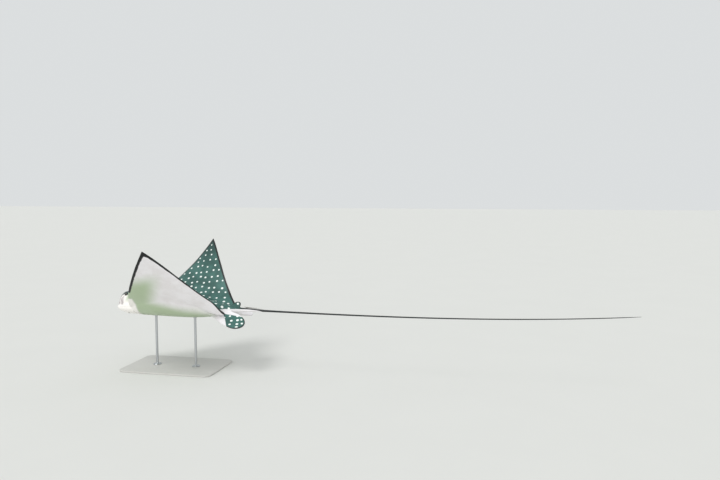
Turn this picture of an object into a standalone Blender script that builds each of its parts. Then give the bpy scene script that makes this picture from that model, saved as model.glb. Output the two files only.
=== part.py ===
"""Spotted eagle ray: a still, life-size museum model held by two rods over a flat base.

Metres, +Z up. The head points to -X, the tail to +X, and +Y is the animal's right side. The origin is
the centre of the base's underside.

Lengths of the animal are in disc widths until `place` turns them into metres: `a` runs back from the
snout, `b` out from the midline to the right, and `c` up. In these the wings lie flat. `place` then
bends the wings up, banks and pitches the body, and sets it over the base.
"""

import math

import bmesh
import bpy
import numpy as np

# ---------------------------------------------------------------- driving dimensions, metres
DISC_WIDTH = 1.5            # wing tip to wing tip, measured along the flat disc
BODY_HEIGHT = 0.46          # pose origin above the floor
GAP = 0.0003                # clearance between neighbouring pieces

BASE_LENGTH = 0.72
BASE_WIDTH = 0.46
BASE_THICKNESS = 0.012
BASE_CORNER = 0.05
BASE_BEVEL = 0.0025
ROD_RADIUS = 0.009
ROD_SOCKET = 0.022          # how far a rod reaches into the belly
FLANGE_RADIUS = 0.030
FLANGE_HEIGHT = 0.007
FLANGE_CHAMFER = 0.003
ROD_FILLET = 0.003
FILLET_STEP = 0.001         # height of the fillet's outer edge above the flange
ROD_STATIONS = {"stand_rod_front": 0.215, "stand_rod_rear": 0.425}

# ---------------------------------------------------------------- pose
POSE_ORIGIN = 0.32          # station that sits over the base's centre
WING_LIFT = 0.2032          # bend of the wing root, radians
WING_CURL = 0.6886          # further bend out to the tip, radians
CURL_POWER = 0.2755
ROOT_BEND = (0.05, 0.19)    # how far out the root's bend starts and is complete
CURL_STARTS_BY = 0.09
WING_TWIST = 1.3075         # more bend behind TWIST_STATION, less before it
TWIST_STATION = 0.37
TWIST_REACH = (0.05, 0.62)  # stations between which the twist grows
STIFF_HEAD = (0.09, 0.17)   # the bend fades in between these stations, so the head stays straight
BEND_STEPS = 32             # steps in which the bend is added up along the span
SIDE_SHARE = 0.1475         # the right wing bends this much more, the left this much less
TIP_SWEEP = -0.1688         # how a bent wing's tip is carried forward
BANK = -0.0921              # left side up
NOSE_UP = 0.0151
TAIL_RISE = (0.0018, 0.0088)    # square and cube terms of the tail's upward curve
TAIL_RISE_FROM = 0.62
DROOP = 0.034                   # how far the left wing's free rear corner hangs
DROOP_OUT = (0.030, 0.076)      # from the body out to the corner
DROOP_FADES = (0.060, 0.14)     # from the corner out along the trailing edge
DROOP_BACK = (0.46, 0.60)
DROOP_ABOVE = (-0.045, -0.008)  # heights over which the belly beside it stays put

# ---------------------------------------------------------------- planform, disc widths
ORIGIN = (0.125, 0.080)         # pectoral origin, where the leading edge leaves the head
TIP = (0.3990, 0.500)
REAR = (0.6076, 0.076)          # rear corner of the wing
INSERTION = (0.555, 0.040)      # where the wing's inner margin meets the body
LEADING_EDGE = (ORIGIN, (0.155, 0.195), (0.2905, 0.379), TIP)
TRAILING_EDGE = (TIP, (0.439, 0.422), (0.495, 0.225), REAR)
INNER_EDGE = (REAR, (0.622, 0.062), (0.592, 0.050), INSERTION)
TAIL_FROM = 0.68                # where the trunk ends and the tail begins
TAIL_CUTS = (TAIL_FROM, 1.00, 1.35, 1.72, 2.10, 2.494)
TAIL_POINT = 0.003              # length of the point that closes the tail's tip

# ---------------------------------------------------------------- mesh counts
TOP_STEPS = 10                  # across the back
WALL_STEPS = 2                  # down each side
BELLY_STEPS = 8                 # across the belly
EDGE_ROWS = (12, 12, 5)         # rows along the leading, trailing and inner edges
WING_COLUMNS = 11
AFT_RINGS = 11                  # trunk rings behind the wings, up to AFT_TO
AFT_TO = 0.665
PELVIC_COLUMNS = 5
DORSAL_COLUMNS = 4
TAIL_RINGS = 5
CORNER_STEPS = 6                # along each corner of the base
HEAD_STATIONS = (0.009, 0.013, 0.019, 0.025, 0.0295, 0.0335, 0.038, 0.045, 0.056, 0.069, 0.083, 0.102)


def monotone(*points):
    """A smooth curve through a few (station, value) points that never overshoots them, as a function."""
    x, y = np.array(points, float).T
    step = np.diff(x)
    rise = np.diff(y) / step
    slope = np.concatenate(([rise[0]], np.zeros(len(x) - 2), [rise[-1]]))
    for i in range(1, len(x) - 1):
        if rise[i - 1] * rise[i] > 0:
            before = 2 * step[i] + step[i - 1]
            after = step[i] + 2 * step[i - 1]
            slope[i] = (before + after) / (before / rise[i - 1] + after / rise[i])

    def curve(at):
        at = np.clip(np.asarray(at, float), x[0], x[-1])
        k = np.clip(np.searchsorted(x, at) - 1, 0, len(step) - 1)
        t = (at - x[k]) / step[k]
        start = y[k] * (1 + 2 * t) * (1 - t) ** 2 + slope[k] * step[k] * t * (1 - t) ** 2
        end = y[k + 1] * t * t * (3 - 2 * t) + slope[k + 1] * step[k] * t * t * (t - 1)
        return start + end

    return curve


def smooth(at, low, high):
    t = np.clip((np.asarray(at, float) - low) / (high - low), 0, 1)
    return t * t * (3 - 2 * t)


def bezier(points, share):
    """Points of a cubic Bezier curve at each share of its run."""
    t = np.atleast_1d(np.asarray(share, float))[:, None]
    p = np.asarray(points, float)
    s = 1 - t
    return s ** 3 * p[0] + 3 * s * s * t * p[1] + 3 * s * t * t * p[2] + t ** 3 * p[3]


# ---------------------------------------------------------------- profiles along the body
SNOUT = 0.007                   # station of the snout's tip
half_width = monotone(
    (SNOUT, 0.0), (0.010, 0.013), (0.018, 0.029), (0.031, 0.041), (0.052, 0.051), (0.074, 0.064),
    (0.096, 0.0755), (0.125, 0.080), (0.20, 0.085), (0.32, 0.082), (0.44, 0.066), (0.555, 0.040),
    (0.62, 0.0205), (0.68, 0.0115), (0.745, 0.0070), (0.80, 0.0052), (1.00, 0.0041), (1.50, 0.0033),
    (2.00, 0.0026), (2.42, 0.0017), (2.494, 0.0007))
back_line = monotone(
    (SNOUT, -0.015), (0.013, -0.009), (0.025, -0.002), (0.0305, 0.012), (0.0335, 0.034), (0.038, 0.050),
    (0.052, 0.062), (0.085, 0.067), (0.125, 0.067), (0.20, 0.062), (0.29, 0.059), (0.38, 0.052),
    (0.48, 0.038), (0.555, 0.0260), (0.62, 0.0160), (0.65, 0.0112), (0.68, 0.0088), (0.745, 0.0066),
    (0.80, 0.0049),
    (1.00, 0.0040), (1.50, 0.0032), (2.00, 0.0025), (2.42, 0.0017), (2.494, 0.0007))
belly_line = monotone(
    (SNOUT, -0.015), (0.015, -0.026), (0.045, -0.041), (0.10, -0.048), (0.18, -0.050), (0.29, -0.051),
    (0.39, -0.051), (0.48, -0.046), (0.555, -0.031), (0.62, -0.0185), (0.68, -0.0098),
    (0.745, -0.0064), (0.80, -0.0048), (1.00, -0.0040), (1.50, -0.0032), (2.00, -0.0025),
    (2.42, -0.0017), (2.494, -0.0007))
wall_line = monotone((SNOUT, -0.015), (0.035, -0.012), (0.10, 0.0))     # middle of the side wall
wall_half = monotone(
    (SNOUT, 0.0005), (0.015, 0.0025), (0.05, 0.005), (0.125, 0.012), (0.555, 0.0075), (0.62, 0.0045),
    (0.68, 0.0026), (0.80, 0.0011), (1.5, 0.0007), (2.494, 0.0002))
WALL_BULGE = 0.35               # how far a side wall swells, as a share of its half height

# The body's own swell above and below the wing sheet: its reach to the side, and how full it is.
swell_reach = monotone(
    (0.125, 0.080), (0.16, 0.114), (0.20, 0.143), (0.27, 0.160), (0.38, 0.150), (0.47, 0.104),
    (0.555, 0.040))
back_fullness = monotone(
    (0.010, 0.50), (0.034, 0.30), (0.07, 0.40), (0.125, 0.45), (0.16, 0.75), (0.22, 1.3), (0.35, 1.6),
    (0.47, 1.3), (0.555, 0.6), (0.62, 0.5))
belly_fullness = monotone(
    (0.0, 0.5), (0.125, 0.5), (0.17, 0.7), (0.25, 1.0), (0.40, 1.0), (0.50, 0.7), (0.555, 0.5))

# The wing sheet: its half thickness on each side out along the span, and at its margin.
sheet_above = monotone(
    (0, 0.025), (0.08, 0.0238), (0.15, 0.0175), (0.25, 0.0102), (0.35, 0.0056), (0.45, 0.0023),
    (0.5, 0.0008))
sheet_below = monotone(
    (0, 0.020), (0.08, 0.0187), (0.15, 0.0130), (0.25, 0.0067), (0.35, 0.0035), (0.45, 0.0014),
    (0.5, 0.0006))
margin_half = monotone(
    (0, 0.012), (0.05, 0.0062), (0.18, 0.0028), (0.5, 0.0009), (0.9, 0.001), (0.95, 0.0014),
    (0.985, 0.004), (1, 0.0075))

SECTION_LEAN = 0.6              # under 1, the thickest place lies in the front half of the chord
SECTION_FULLNESS = 0.8

# The margin runs from the pectoral origin (0) round the tip to the insertion (1).
AT_TIP, AT_REAR = 0.50, 0.93
root_share = monotone((0, 0), (AT_TIP, 0.46), (AT_REAR, 0.88), (1, 1))


def margin_at(run):
    """Points (a, b) of the right wing's margin."""
    run = np.atleast_1d(np.asarray(run, float))
    lead = bezier(LEADING_EDGE, run / AT_TIP)
    trail = bezier(TRAILING_EDGE, (run - AT_TIP) / (AT_REAR - AT_TIP))
    inner = bezier(INNER_EDGE, (run - AT_REAR) / (1 - AT_REAR))
    first = (run <= AT_TIP)[:, None]
    last = (run > AT_REAR)[:, None]
    return np.where(first, lead, np.where(last, inner, trail))


FINE = np.linspace(0, 1, 401)
FINE_MARGIN = margin_at(FINE)
IS_FRONT = FINE <= AT_TIP
FRONT_A, FRONT_B = FINE_MARGIN[IS_FRONT].T
BACK_A, BACK_B = FINE_MARGIN[~IS_FRONT][::-1].T


def chord_share(a, b):
    """0 on the leading edge, 1 on the trailing edge, for a point of the wing."""
    front = np.interp(np.abs(b), FRONT_B, FRONT_A)
    back = np.interp(np.abs(b), BACK_B, BACK_A)
    return np.clip((a - front) / np.maximum(back - front, 1e-6), 0, 1)


def section(share):
    """The wing's section from its leading edge to its trailing edge: blunt in front, fine behind."""
    p = share ** SECTION_LEAN
    return (4 * p * (1 - p)) ** SECTION_FULLNESS


def run_of_root(a):
    """The place on the margin that the wing root's station `a` is joined to."""
    return np.interp((a - ORIGIN[0]) / (INSERTION[0] - ORIGIN[0]), root_share(FINE), FINE)


def surface(a, b, edge, sheet, line, fullness):
    """Height of the wing-bearing part of the body on one side of the wing's plane, always positive."""
    root_edge = margin_half(run_of_root(a))
    swell = line - root_edge - sheet(0) * section(chord_share(a, 0 * a))
    reach = np.clip(1 - (np.abs(b) / swell_reach(a)) ** 2, 0, 1)
    return edge + sheet(np.abs(b)) * section(chord_share(a, b)) + swell * reach ** fullness


def upper(a, b, edge):
    return surface(a, b, edge, sheet_above, back_line(a), back_fullness(a))


def lower(a, b, edge):
    return -surface(a, b, edge, sheet_below, -belly_line(a), belly_fullness(a))


def has_wing(a):
    return ORIGIN[0] <= a <= INSERTION[0]


def ring(a):
    """One closed section of the body: across the back to the right, down the wall, under, and up."""
    width = float(half_width(a))
    across_top = width * np.sin(np.linspace(-1, 1, TOP_STEPS + 1) * math.pi / 2)
    across_belly = width * np.sin(np.linspace(1, -1, BELLY_STEPS + 1) * math.pi / 2)
    if has_wing(a):
        edge = float(margin_half(run_of_root(a)))
        at_top = np.full(len(across_top), a)
        at_belly = np.full(len(across_belly), a)
        top = upper(at_top, across_top, edge)
        under = lower(at_belly, across_belly, edge)
    else:
        edge = float(wall_half(a))
        rise = (1 - np.clip((across_top / width) ** 2, 0, 1)) ** back_fullness(a)
        fall = (1 - np.clip((across_belly / width) ** 2, 0, 1)) ** belly_fullness(a)
        over, below = wall_line(a) + edge, wall_line(a) - edge
        top = over + (back_line(a) - over) * rise
        under = below + (belly_line(a) - below) * fall
    turn = np.linspace(1, -1, WALL_STEPS + 1)[1:-1]
    middle = (top[-1] + under[0]) / 2 + (top[-1] - under[0]) / 2 * turn
    bulge = width + WALL_BULGE * edge * np.sqrt(1 - turn ** 2)
    rows = [
        np.column_stack((across_top, top)),
        np.column_stack((bulge, middle)),
        np.column_stack((across_belly, under)),
        np.column_stack((-bulge[::-1], middle[::-1])),
    ]
    points = np.concatenate(rows)
    return np.column_stack((np.full(len(points), a), points))


def bend_angle(out):
    """How far the wing's plane is turned up at a distance out from the midline, in radians."""
    root = WING_LIFT * smooth(out, *ROOT_BEND)
    return root + WING_CURL * (out / TIP[1]) ** CURL_POWER * smooth(out, 0, CURL_STARTS_BY)


def place(points):
    """World positions in metres of points (a, b, c) given in disc widths on the flat animal."""
    points = np.atleast_2d(np.asarray(points, float))
    a, c = points[:, 0], points[:, 2]
    out = np.abs(points[:, 1])
    side = np.where(points[:, 1] < 0, -1.0, 1.0)
    share = 1 + WING_TWIST * (np.clip(a, *TWIST_REACH) - TWIST_STATION)
    share = share * smooth(a, *STIFF_HEAD) * (1 + SIDE_SHARE * side)
    steps = (np.arange(BEND_STEPS) + 0.5) / BEND_STEPS
    angles = bend_angle(out[:, None] * steps) * share[:, None]
    end = bend_angle(out) * share
    back = np.clip(a - TAIL_RISE_FROM, 0, None)
    x = a + TIP_SWEEP * out ** 2 - POSE_ORIGIN
    y = side * (np.cos(angles).mean(axis=1) * out - c * np.sin(end))
    z = np.sin(angles).mean(axis=1) * out + c * np.cos(end)
    z = z + TAIL_RISE[0] * back ** 2 + TAIL_RISE[1] * back ** 3
    corner = smooth(out, *DROOP_OUT) * (1 - smooth(out, *DROOP_FADES)) * smooth(a, *DROOP_BACK)
    z = z - DROOP * np.where(side < 0, 1, 0) * corner * smooth(c, *DROOP_ABOVE)
    banked_y = y * math.cos(BANK) - z * math.sin(BANK)
    banked_z = y * math.sin(BANK) + z * math.cos(BANK)
    pitched_x = x * math.cos(NOSE_UP) + banked_z * math.sin(NOSE_UP)
    pitched_z = banked_z * math.cos(NOSE_UP) - x * math.sin(NOSE_UP)
    world = np.column_stack((pitched_x, banked_y, pitched_z)) * DISC_WIDTH
    return world + np.array((0, 0, BODY_HEIGHT))


# ---------------------------------------------------------------- mesh helpers
def material(name, colour, roughness, metallic=0.0):
    made = bpy.data.materials.new(name)
    made.use_nodes = True
    shader = made.node_tree.nodes["Principled BSDF"]
    shader.inputs["Base Color"].default_value = (*colour, 1)
    shader.inputs["Roughness"].default_value = roughness
    shader.inputs["Metallic"].default_value = metallic
    return made


def add_object(name, points, faces, finish, sharp_angle=0.6):
    """A closed mesh object with its normals outwards and its round faces smooth."""
    mesh = bpy.data.meshes.new(name)
    mesh.from_pydata([tuple(p) for p in points], [], faces)
    shape = bmesh.new()
    shape.from_mesh(mesh)
    bmesh.ops.recalc_face_normals(shape, faces=shape.faces)
    shape.to_mesh(mesh)
    shape.free()
    mesh.shade_smooth()
    mesh.set_sharp_from_angle(angle=sharp_angle)
    mesh.materials.append(finish)
    made = bpy.data.objects.new(name, mesh)
    bpy.context.scene.collection.objects.link(made)
    return made


def halves(first, second, third, fourth):
    """The two triangles of a quad, split from its first corner to its third."""
    return [(first, second, third), (first, third, fourth)]


def loop_faces(count, rows, mirrored=()):
    """Triangles between closed rows of `count` points each. Mirrored columns split the other way."""
    faces = []
    for row in range(rows - 1):
        start = row * count
        for k in range(count):
            after = (k + 1) % count
            quad = (start + k, start + after, start + count + after, start + count + k)
            faces += halves(*(quad[1:] + quad[:1] if k in mirrored else quad))
    return faces


def tube(name, stations, finish, nose=None, tail=None):
    """A length of the body between two stations, closed by flat ends or by a point."""
    rings = [ring(a) for a in stations]
    count = len(rings[0])
    points = list(np.concatenate(rings))
    left = {k for k in range(count) if rings[0][k, 1] + rings[0][(k + 1) % count, 1] < 0}
    faces = loop_faces(count, len(rings), left)
    for end, first, pole in ((rings[0], 0, nose), (rings[-1], len(points) - count, tail)):
        points.append(end.mean(axis=0) if pole is None else np.asarray(pole, float))
        faces += [(first + k, first + (k + 1) % count, len(points) - 1) for k in range(count)]
    return add_object(name, place(points), faces, finish)


RIM_BULGE = 0.6                 # how far a fin's rounded edge stands out, as a share of its half thickness


class Blade:
    """A fin that fans out from a strip of the body's surface to a free margin, on the animal's right.

    The strip is rows x steps of points, from the fin's upper face to its lower one. Each row runs out
    to one place of the margin. The first and last rows have no length, so the fin closes there.
    `across` is the direction of its thickness, and `height` can shape its two faces.
    """

    def __init__(self, strip, margin, half, across, columns, height=None):
        self.strip = strip
        self.margin = margin
        self.half = half
        self.across = np.asarray(across, float)
        self.columns = columns
        self.height = height
        along = np.gradient(margin, axis=0)
        outward = np.cross(along, self.across)
        self.outward = outward / np.linalg.norm(outward, axis=1)[:, None]

    def rounded(self, row):
        """The margin's own points at a row, from the upper face round to the lower one."""
        turn = np.linspace(0.5, -0.5, self.strip.shape[1])[:, None] * math.pi
        rim = np.sin(turn) * self.across + RIM_BULGE * np.cos(turn) * self.outward[row]
        return self.margin[row] + self.half[row] * rim

    def face_row(self, row, step):
        """The inner points of one row on the upper (step 0) or lower (step -1) face."""
        shares = np.sin(np.linspace(0, 1, self.columns + 1)[1:-1] * math.pi / 2)[:, None]
        start, end = self.strip[row, step], self.rounded(row)[step]
        points = start + (end - start) * shares
        if self.height is not None:
            points[:, 2] = self.height[step](points[:, 0], points[:, 1], self.half[row])
        return points

    def build(self, name, side, finish):
        rows, count = self.strip.shape[:2]
        points, index = [], {}

        def add(key, point):
            index[key] = len(points)
            points.append(point * np.array((1, side, 1)))

        for row in range(rows):
            for step in range(count):
                add(("root", row, step), self.strip[row, step])
        for row in range(1, rows - 1):
            for step, point in enumerate(self.rounded(row)):
                add(("rim", row, step), point)
            for step in (0, -1):
                for column, point in enumerate(self.face_row(row, step), 1):
                    add((step, row, column), point)

        def rim(row, step):
            return index.get(("rim", row, step), index[("root", row, step)])

        def on_face(step, row, column):
            wall_step = step % count
            if column == 0:
                return index[("root", row, wall_step)]
            return index.get((step, row, column), rim(row, wall_step))

        faces = []

        def add_face(*corners):
            corners = tuple(dict.fromkeys(corners))
            if len(corners) > 2:
                faces.append(corners)

        for row in range(rows - 1):
            after = row + 1
            for step in range(count - 1):
                root = [index[("root", r, s)] for r, s in
                        ((row, step), (after, step), (after, step + 1), (row, step + 1))]
                faces.extend(halves(*root))
                add_face(rim(row, step), rim(after, step), rim(after, step + 1), rim(row, step + 1))
            for step in (0, -1):
                for column in range(self.columns):
                    near = (on_face(step, after, column), on_face(step, row, column))
                    add_face(*near, on_face(step, row, column + 1), on_face(step, after, column + 1))
        return add_object(name, place(points), faces, finish)


# ---------------------------------------------------------------- the animal
def wing_runs():
    lead, trail, inner = EDGE_ROWS
    first = np.linspace(0, AT_TIP, lead + 1)
    second = np.linspace(AT_TIP, AT_REAR, trail + 1)[1:]
    third = np.linspace(AT_REAR, 1, inner + 1)[1:]
    return np.concatenate((first, second, third))


def wing_stations():
    return ORIGIN[0] + (INSERTION[0] - ORIGIN[0]) * root_share(wing_runs())


def trunk_stations(start=ORIGIN[0], end=TAIL_FROM):
    """The trunk's rings between two stations: the wing's root rows, then even steps to the tail."""
    behind = np.linspace(INSERTION[0], AFT_TO, AFT_RINGS + 1)[1:]
    stations = np.concatenate((wing_stations(), behind, (TAIL_FROM,)))
    return stations[(stations > start - 1e-6) & (stations < end + 1e-6)]


def add_wing(name, side, finish):
    runs = wing_runs()
    strip = np.array([ring(a)[TOP_STEPS:TOP_STEPS + WALL_STEPS + 1] for a in wing_stations()])
    strip[:, :, 1] += GAP / DISC_WIDTH
    margin = np.column_stack((margin_at(runs), 0 * runs))
    blade = Blade(strip, margin, margin_half(runs), (0, 0, 1), WING_COLUMNS, {0: upper, -1: lower})
    return blade.build(name, side, finish)


PELVIC_FROM, PELVIC_TO = 0.520, 0.616
PELVIC_DROOP = {-1: math.radians(56), 1: math.radians(42)}     # left and right
PELVIC_SPREAD = {-1: 1.0, 1: 0.86}      # the right fin is held more closed
PELVIC_HALF = 0.0022
PELVIC_FRONT = ((0, 0), (0.046, 0.030), (0.100, 0.100), (0.158, 0.124))     # along, out from the root
PELVIC_BACK = ((0.158, 0.124), (0.216, 0.134), (0.222, 0.052))


def add_pelvic(name, side, finish):
    """A short rounded paddle that droops from beside the vent, under the wing's rear corner."""
    first = TOP_STEPS + WALL_STEPS
    stations = trunk_stations(PELVIC_FROM, PELVIC_TO)
    strip = np.array([ring(a)[first:first + 3] for a in stations])
    out = np.array((0, math.cos(PELVIC_DROOP[side]), -math.sin(PELVIC_DROOP[side])))
    strip += out * GAP / DISC_WIDTH
    along = strip[-1, 1] - strip[0, 1]
    length = np.linalg.norm(along)
    along /= length
    half_way = (len(stations) + 1) // 2
    spread = np.array((PELVIC_SPREAD[side], 1))
    front = bezier(PELVIC_FRONT * spread, np.linspace(0, 1, half_way))
    last = (length, 0)
    back = (*(PELVIC_BACK * spread), last)
    back = bezier(back, np.linspace(0, 1, len(stations) - half_way + 1)[1:])
    flat = np.concatenate((front, back))
    margin = strip[0, 1] + flat[:, :1] * along + flat[:, 1:] * out
    across = np.cross(out, along)
    half = np.full(len(stations), PELVIC_HALF)
    return Blade(strip, margin, half, -across, PELVIC_COLUMNS).build(name, side, finish)


DORSAL_FROM, DORSAL_TO = 0.614, 0.656
DORSAL_HALF = 0.0016
DORSAL_FRONT = ((0, 0), (0.010, 0.010), (0.022, 0.020), (0.034, 0.020))     # back, up
DORSAL_BACK = ((0.034, 0.020), (0.048, 0.020), (0.050, 0.009))


def add_dorsal(finish):
    """The one small fin, on top of the tail's root."""
    middle = TOP_STEPS // 2
    stations = trunk_stations(DORSAL_FROM, DORSAL_TO)
    strip = np.array([ring(a)[middle - 1:middle + 2][::-1] for a in stations])
    strip[:, :, 2] += GAP / DISC_WIDTH
    along = strip[-1, 1] - strip[0, 1]
    half_way = (len(stations) + 1) // 2
    front = bezier(DORSAL_FRONT, np.linspace(0, 1, half_way))
    last = (along[0], along[2])
    back = bezier((*DORSAL_BACK, last), np.linspace(0, 1, len(stations) - half_way + 1)[1:])
    flat = np.concatenate((front, back))
    margin = strip[0, 1] + np.column_stack((flat[:, 0], 0 * flat[:, 0], flat[:, 1]))
    half = np.full(len(stations), DORSAL_HALF)
    return Blade(strip, margin, half, (0, 1, 0), DORSAL_COLUMNS).build("dorsal_fin", 1, finish)


STING_HALF_WIDTH = 0.0031
STING_HALF_THICKNESS = 0.0011
STING_TOOTH = 0.0011
STING_SLOPE = -0.03
STING_ROOT_WIDTH = 0.8          # of the full width
STING_BARBS = (0.25, 0.93)      # share of the length at the first and the last barb's point
STING_BARB_NOTCH = 0.012        # share of the length by which a barb's notch lies ahead of its point
STINGS = {                      # start along the tail, height, length, barbs on each side
    "sting_lower": (0.690, 0.0104, 0.085, 13),
    "sting_upper": (0.682, 0.0133, 0.066, 10),
}


def add_sting(name, start, height, length, teeth, finish):
    """A flat spine with barbs along both sides that point back to its root."""
    stations, widths = [0.0], [STING_HALF_WIDTH * STING_ROOT_WIDTH]
    for share in np.linspace(*STING_BARBS, teeth):
        taper = 1 - 0.8 * smooth(share, 0.45, 1.0)
        width = STING_HALF_WIDTH * taper
        stations += [share - STING_BARB_NOTCH, share]
        widths += [width, width + STING_TOOTH * (0.3 + 0.7 * taper)]
    points = []
    for share, width in zip(stations, widths):
        thick = STING_HALF_THICKNESS * (1 - 0.7 * share)
        a = start + length * share
        c = height + STING_SLOPE * length * share
        points += [(a, width, c), (a, 0, c + thick), (a, -width, c), (a, 0, c - thick)]
    points += [(start, 0, height), (start + length, 0, height + STING_SLOPE * length)]
    faces = loop_faces(4, len(stations))
    last = len(points) - 6
    faces += [(k, (k + 1) % 4, len(points) - 2) for k in range(4)]
    faces += [(last + k, last + (k + 1) % 4, len(points) - 1) for k in range(4)]
    return add_object(name, place(points), faces, finish)


EYE_RADIUS = 0.0105
EYE_CENTRE = (0.0755, 0.0450, 0.0480)


def ball(name, centre, radius, finish):
    shape = bmesh.new()
    bmesh.ops.create_uvsphere(shape, u_segments=14, v_segments=9, radius=radius)
    mesh = bpy.data.meshes.new(name)
    shape.to_mesh(mesh)
    shape.free()
    mesh.shade_smooth()
    mesh.materials.append(finish)
    made = bpy.data.objects.new(name, mesh)
    made.location = centre
    bpy.context.scene.collection.objects.link(made)
    return made


def make_cutter(cutter, target):
    cutter.hide_render = True
    cutter.display_type = "WIRE"
    cut = target.modifiers.new(cutter.name, "BOOLEAN")
    cut.operation = "DIFFERENCE"
    cut.object = cutter


def add_eye(name, side, head, finish):
    """An eyeball, in a socket that clears it all round."""
    centre = place((EYE_CENTRE[0], side * EYE_CENTRE[1], EYE_CENTRE[2]))[0]
    radius = EYE_RADIUS * DISC_WIDTH
    ball(name, centre, radius, finish)
    make_cutter(ball(f"socket_of_{name}", centre, radius + GAP, finish), head)


# ---------------------------------------------------------------- the stand
def turned(name, profile, centre, finish, segments=20):
    """A solid of revolution about Z, from its (radius, height) points between two poles."""
    angles = np.arange(segments) * 2 * math.pi / segments
    points = [(r * math.cos(t), r * math.sin(t), z) for r, z in profile for t in angles]
    points += [(0, 0, profile[0][1]), (0, 0, profile[-1][1])]
    faces = loop_faces(segments, len(profile))
    for first, pole in ((0, len(points) - 2), (len(points) - 2 - segments, len(points) - 1)):
        faces += [(first + k, first + (k + 1) % segments, pole) for k in range(segments)]
    return add_object(name, np.array(points) + np.array((*centre, 0)), faces, finish)


def add_rod(name, station, trunk, finish):
    """A rod on a flared foot, with its top in a blind hole bored up into the belly."""
    belly = place((station, 0, float(belly_line(station))))[0]
    foot = BASE_THICKNESS + GAP
    top = belly[2] + ROD_SOCKET
    shoulder = foot + FLANGE_HEIGHT
    profile = [
        (FLANGE_RADIUS, foot), (FLANGE_RADIUS, shoulder - FLANGE_CHAMFER),
        (FLANGE_RADIUS - FLANGE_CHAMFER, shoulder), (ROD_RADIUS + ROD_FILLET, shoulder + FILLET_STEP),
        (ROD_RADIUS, shoulder + 2 * ROD_FILLET), (ROD_RADIUS, top),
    ]
    turned(name, profile, belly[:2], finish)
    bore = ROD_RADIUS + GAP
    mouth = belly[2] - 2 * ROD_SOCKET
    cutter = turned(f"hole_of_{name}", [(bore, mouth), (bore, top + GAP)], belly[:2], finish)
    make_cutter(cutter, trunk)


def add_base(finish):
    """A flat plate with round corners and softened edges."""
    outline = []
    for quarter in range(4):
        middle = (quarter + 0.5) * math.pi / 2
        centre_x = math.copysign(BASE_LENGTH / 2 - BASE_CORNER, math.cos(middle))
        centre_y = math.copysign(BASE_WIDTH / 2 - BASE_CORNER, math.sin(middle))
        for step in range(CORNER_STEPS + 1):
            turn = (quarter + step / CORNER_STEPS) * math.pi / 2
            x, y = BASE_CORNER * math.cos(turn), BASE_CORNER * math.sin(turn)
            outline.append((centre_x + x, centre_y + y))
    count = len(outline)
    points = [(x, y, z) for z in (0, BASE_THICKNESS) for x, y in outline]
    faces = loop_faces(count, 2) + [tuple(range(count)), tuple(range(count, 2 * count))]
    base = add_object("stand_base", points, faces, finish)
    bevel = base.modifiers.new("edge", "BEVEL")
    bevel.width = BASE_BEVEL
    bevel.segments = 2
    bevel.limit_method = "ANGLE"
    bevel.angle_limit = math.radians(40)
    return base


def main():
    for old in list(bpy.data.objects):
        bpy.data.objects.remove(old, do_unlink=True)
    skin = material("slate skin", (0.065, 0.125, 0.115), 0.45)
    eye = material("eye", (0.01, 0.01, 0.01), 0.08)
    spine = material("sting", (0.55, 0.50, 0.40), 0.5)
    steel = material("satin steel", (0.56, 0.57, 0.58), 0.35, 1.0)
    paint = material("grey paint", (0.55, 0.56, 0.56), 0.5)

    gap = GAP / DISC_WIDTH
    head_stations = (*HEAD_STATIONS, ORIGIN[0] - gap)
    head = tube("head", head_stations, skin, nose=(SNOUT, 0, float(wall_line(SNOUT))))
    trunk = tube("trunk", trunk_stations(), skin)
    for side, word in ((-1, "left"), (1, "right")):
        add_wing(f"pectoral_{word}", side, skin)
        add_pelvic(f"pelvic_{word}", side, skin)
        add_eye(f"eye_{word}", side, head, eye)
    add_dorsal(skin)
    for name, sizes in STINGS.items():
        add_sting(name, *sizes, spine)
    for number, (start, end) in enumerate(zip(TAIL_CUTS, TAIL_CUTS[1:]), 1):
        stations = np.linspace(start + gap, end, TAIL_RINGS)
        is_last = number == len(TAIL_CUTS) - 1
        tip = (end + TAIL_POINT, 0, 0) if is_last else None
        tube(f"tail_{number}", stations, skin, tail=tip)
    add_base(paint)
    for name, station in ROD_STATIONS.items():
        add_rod(name, station, trunk, steel)


main()
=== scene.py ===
"""Spotted eagle ray: the finish of a still, life-size museum model on a plain display stand.

One skin covers head, trunk, wings, fins and tail. It is built from the same shapes as the solids,
only finer, and gets the folds, openings and markings of the living animal.

Lengths of the animal are in disc widths on the flat animal until `Pose.place` turns them into
metres: `a` runs back from the snout, `b` out from the midline to the right, and `c` up.
"""

import logging
import math
from dataclasses import dataclass, field
from enum import Enum
from functools import cached_property
from typing import Callable, Sequence

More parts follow.
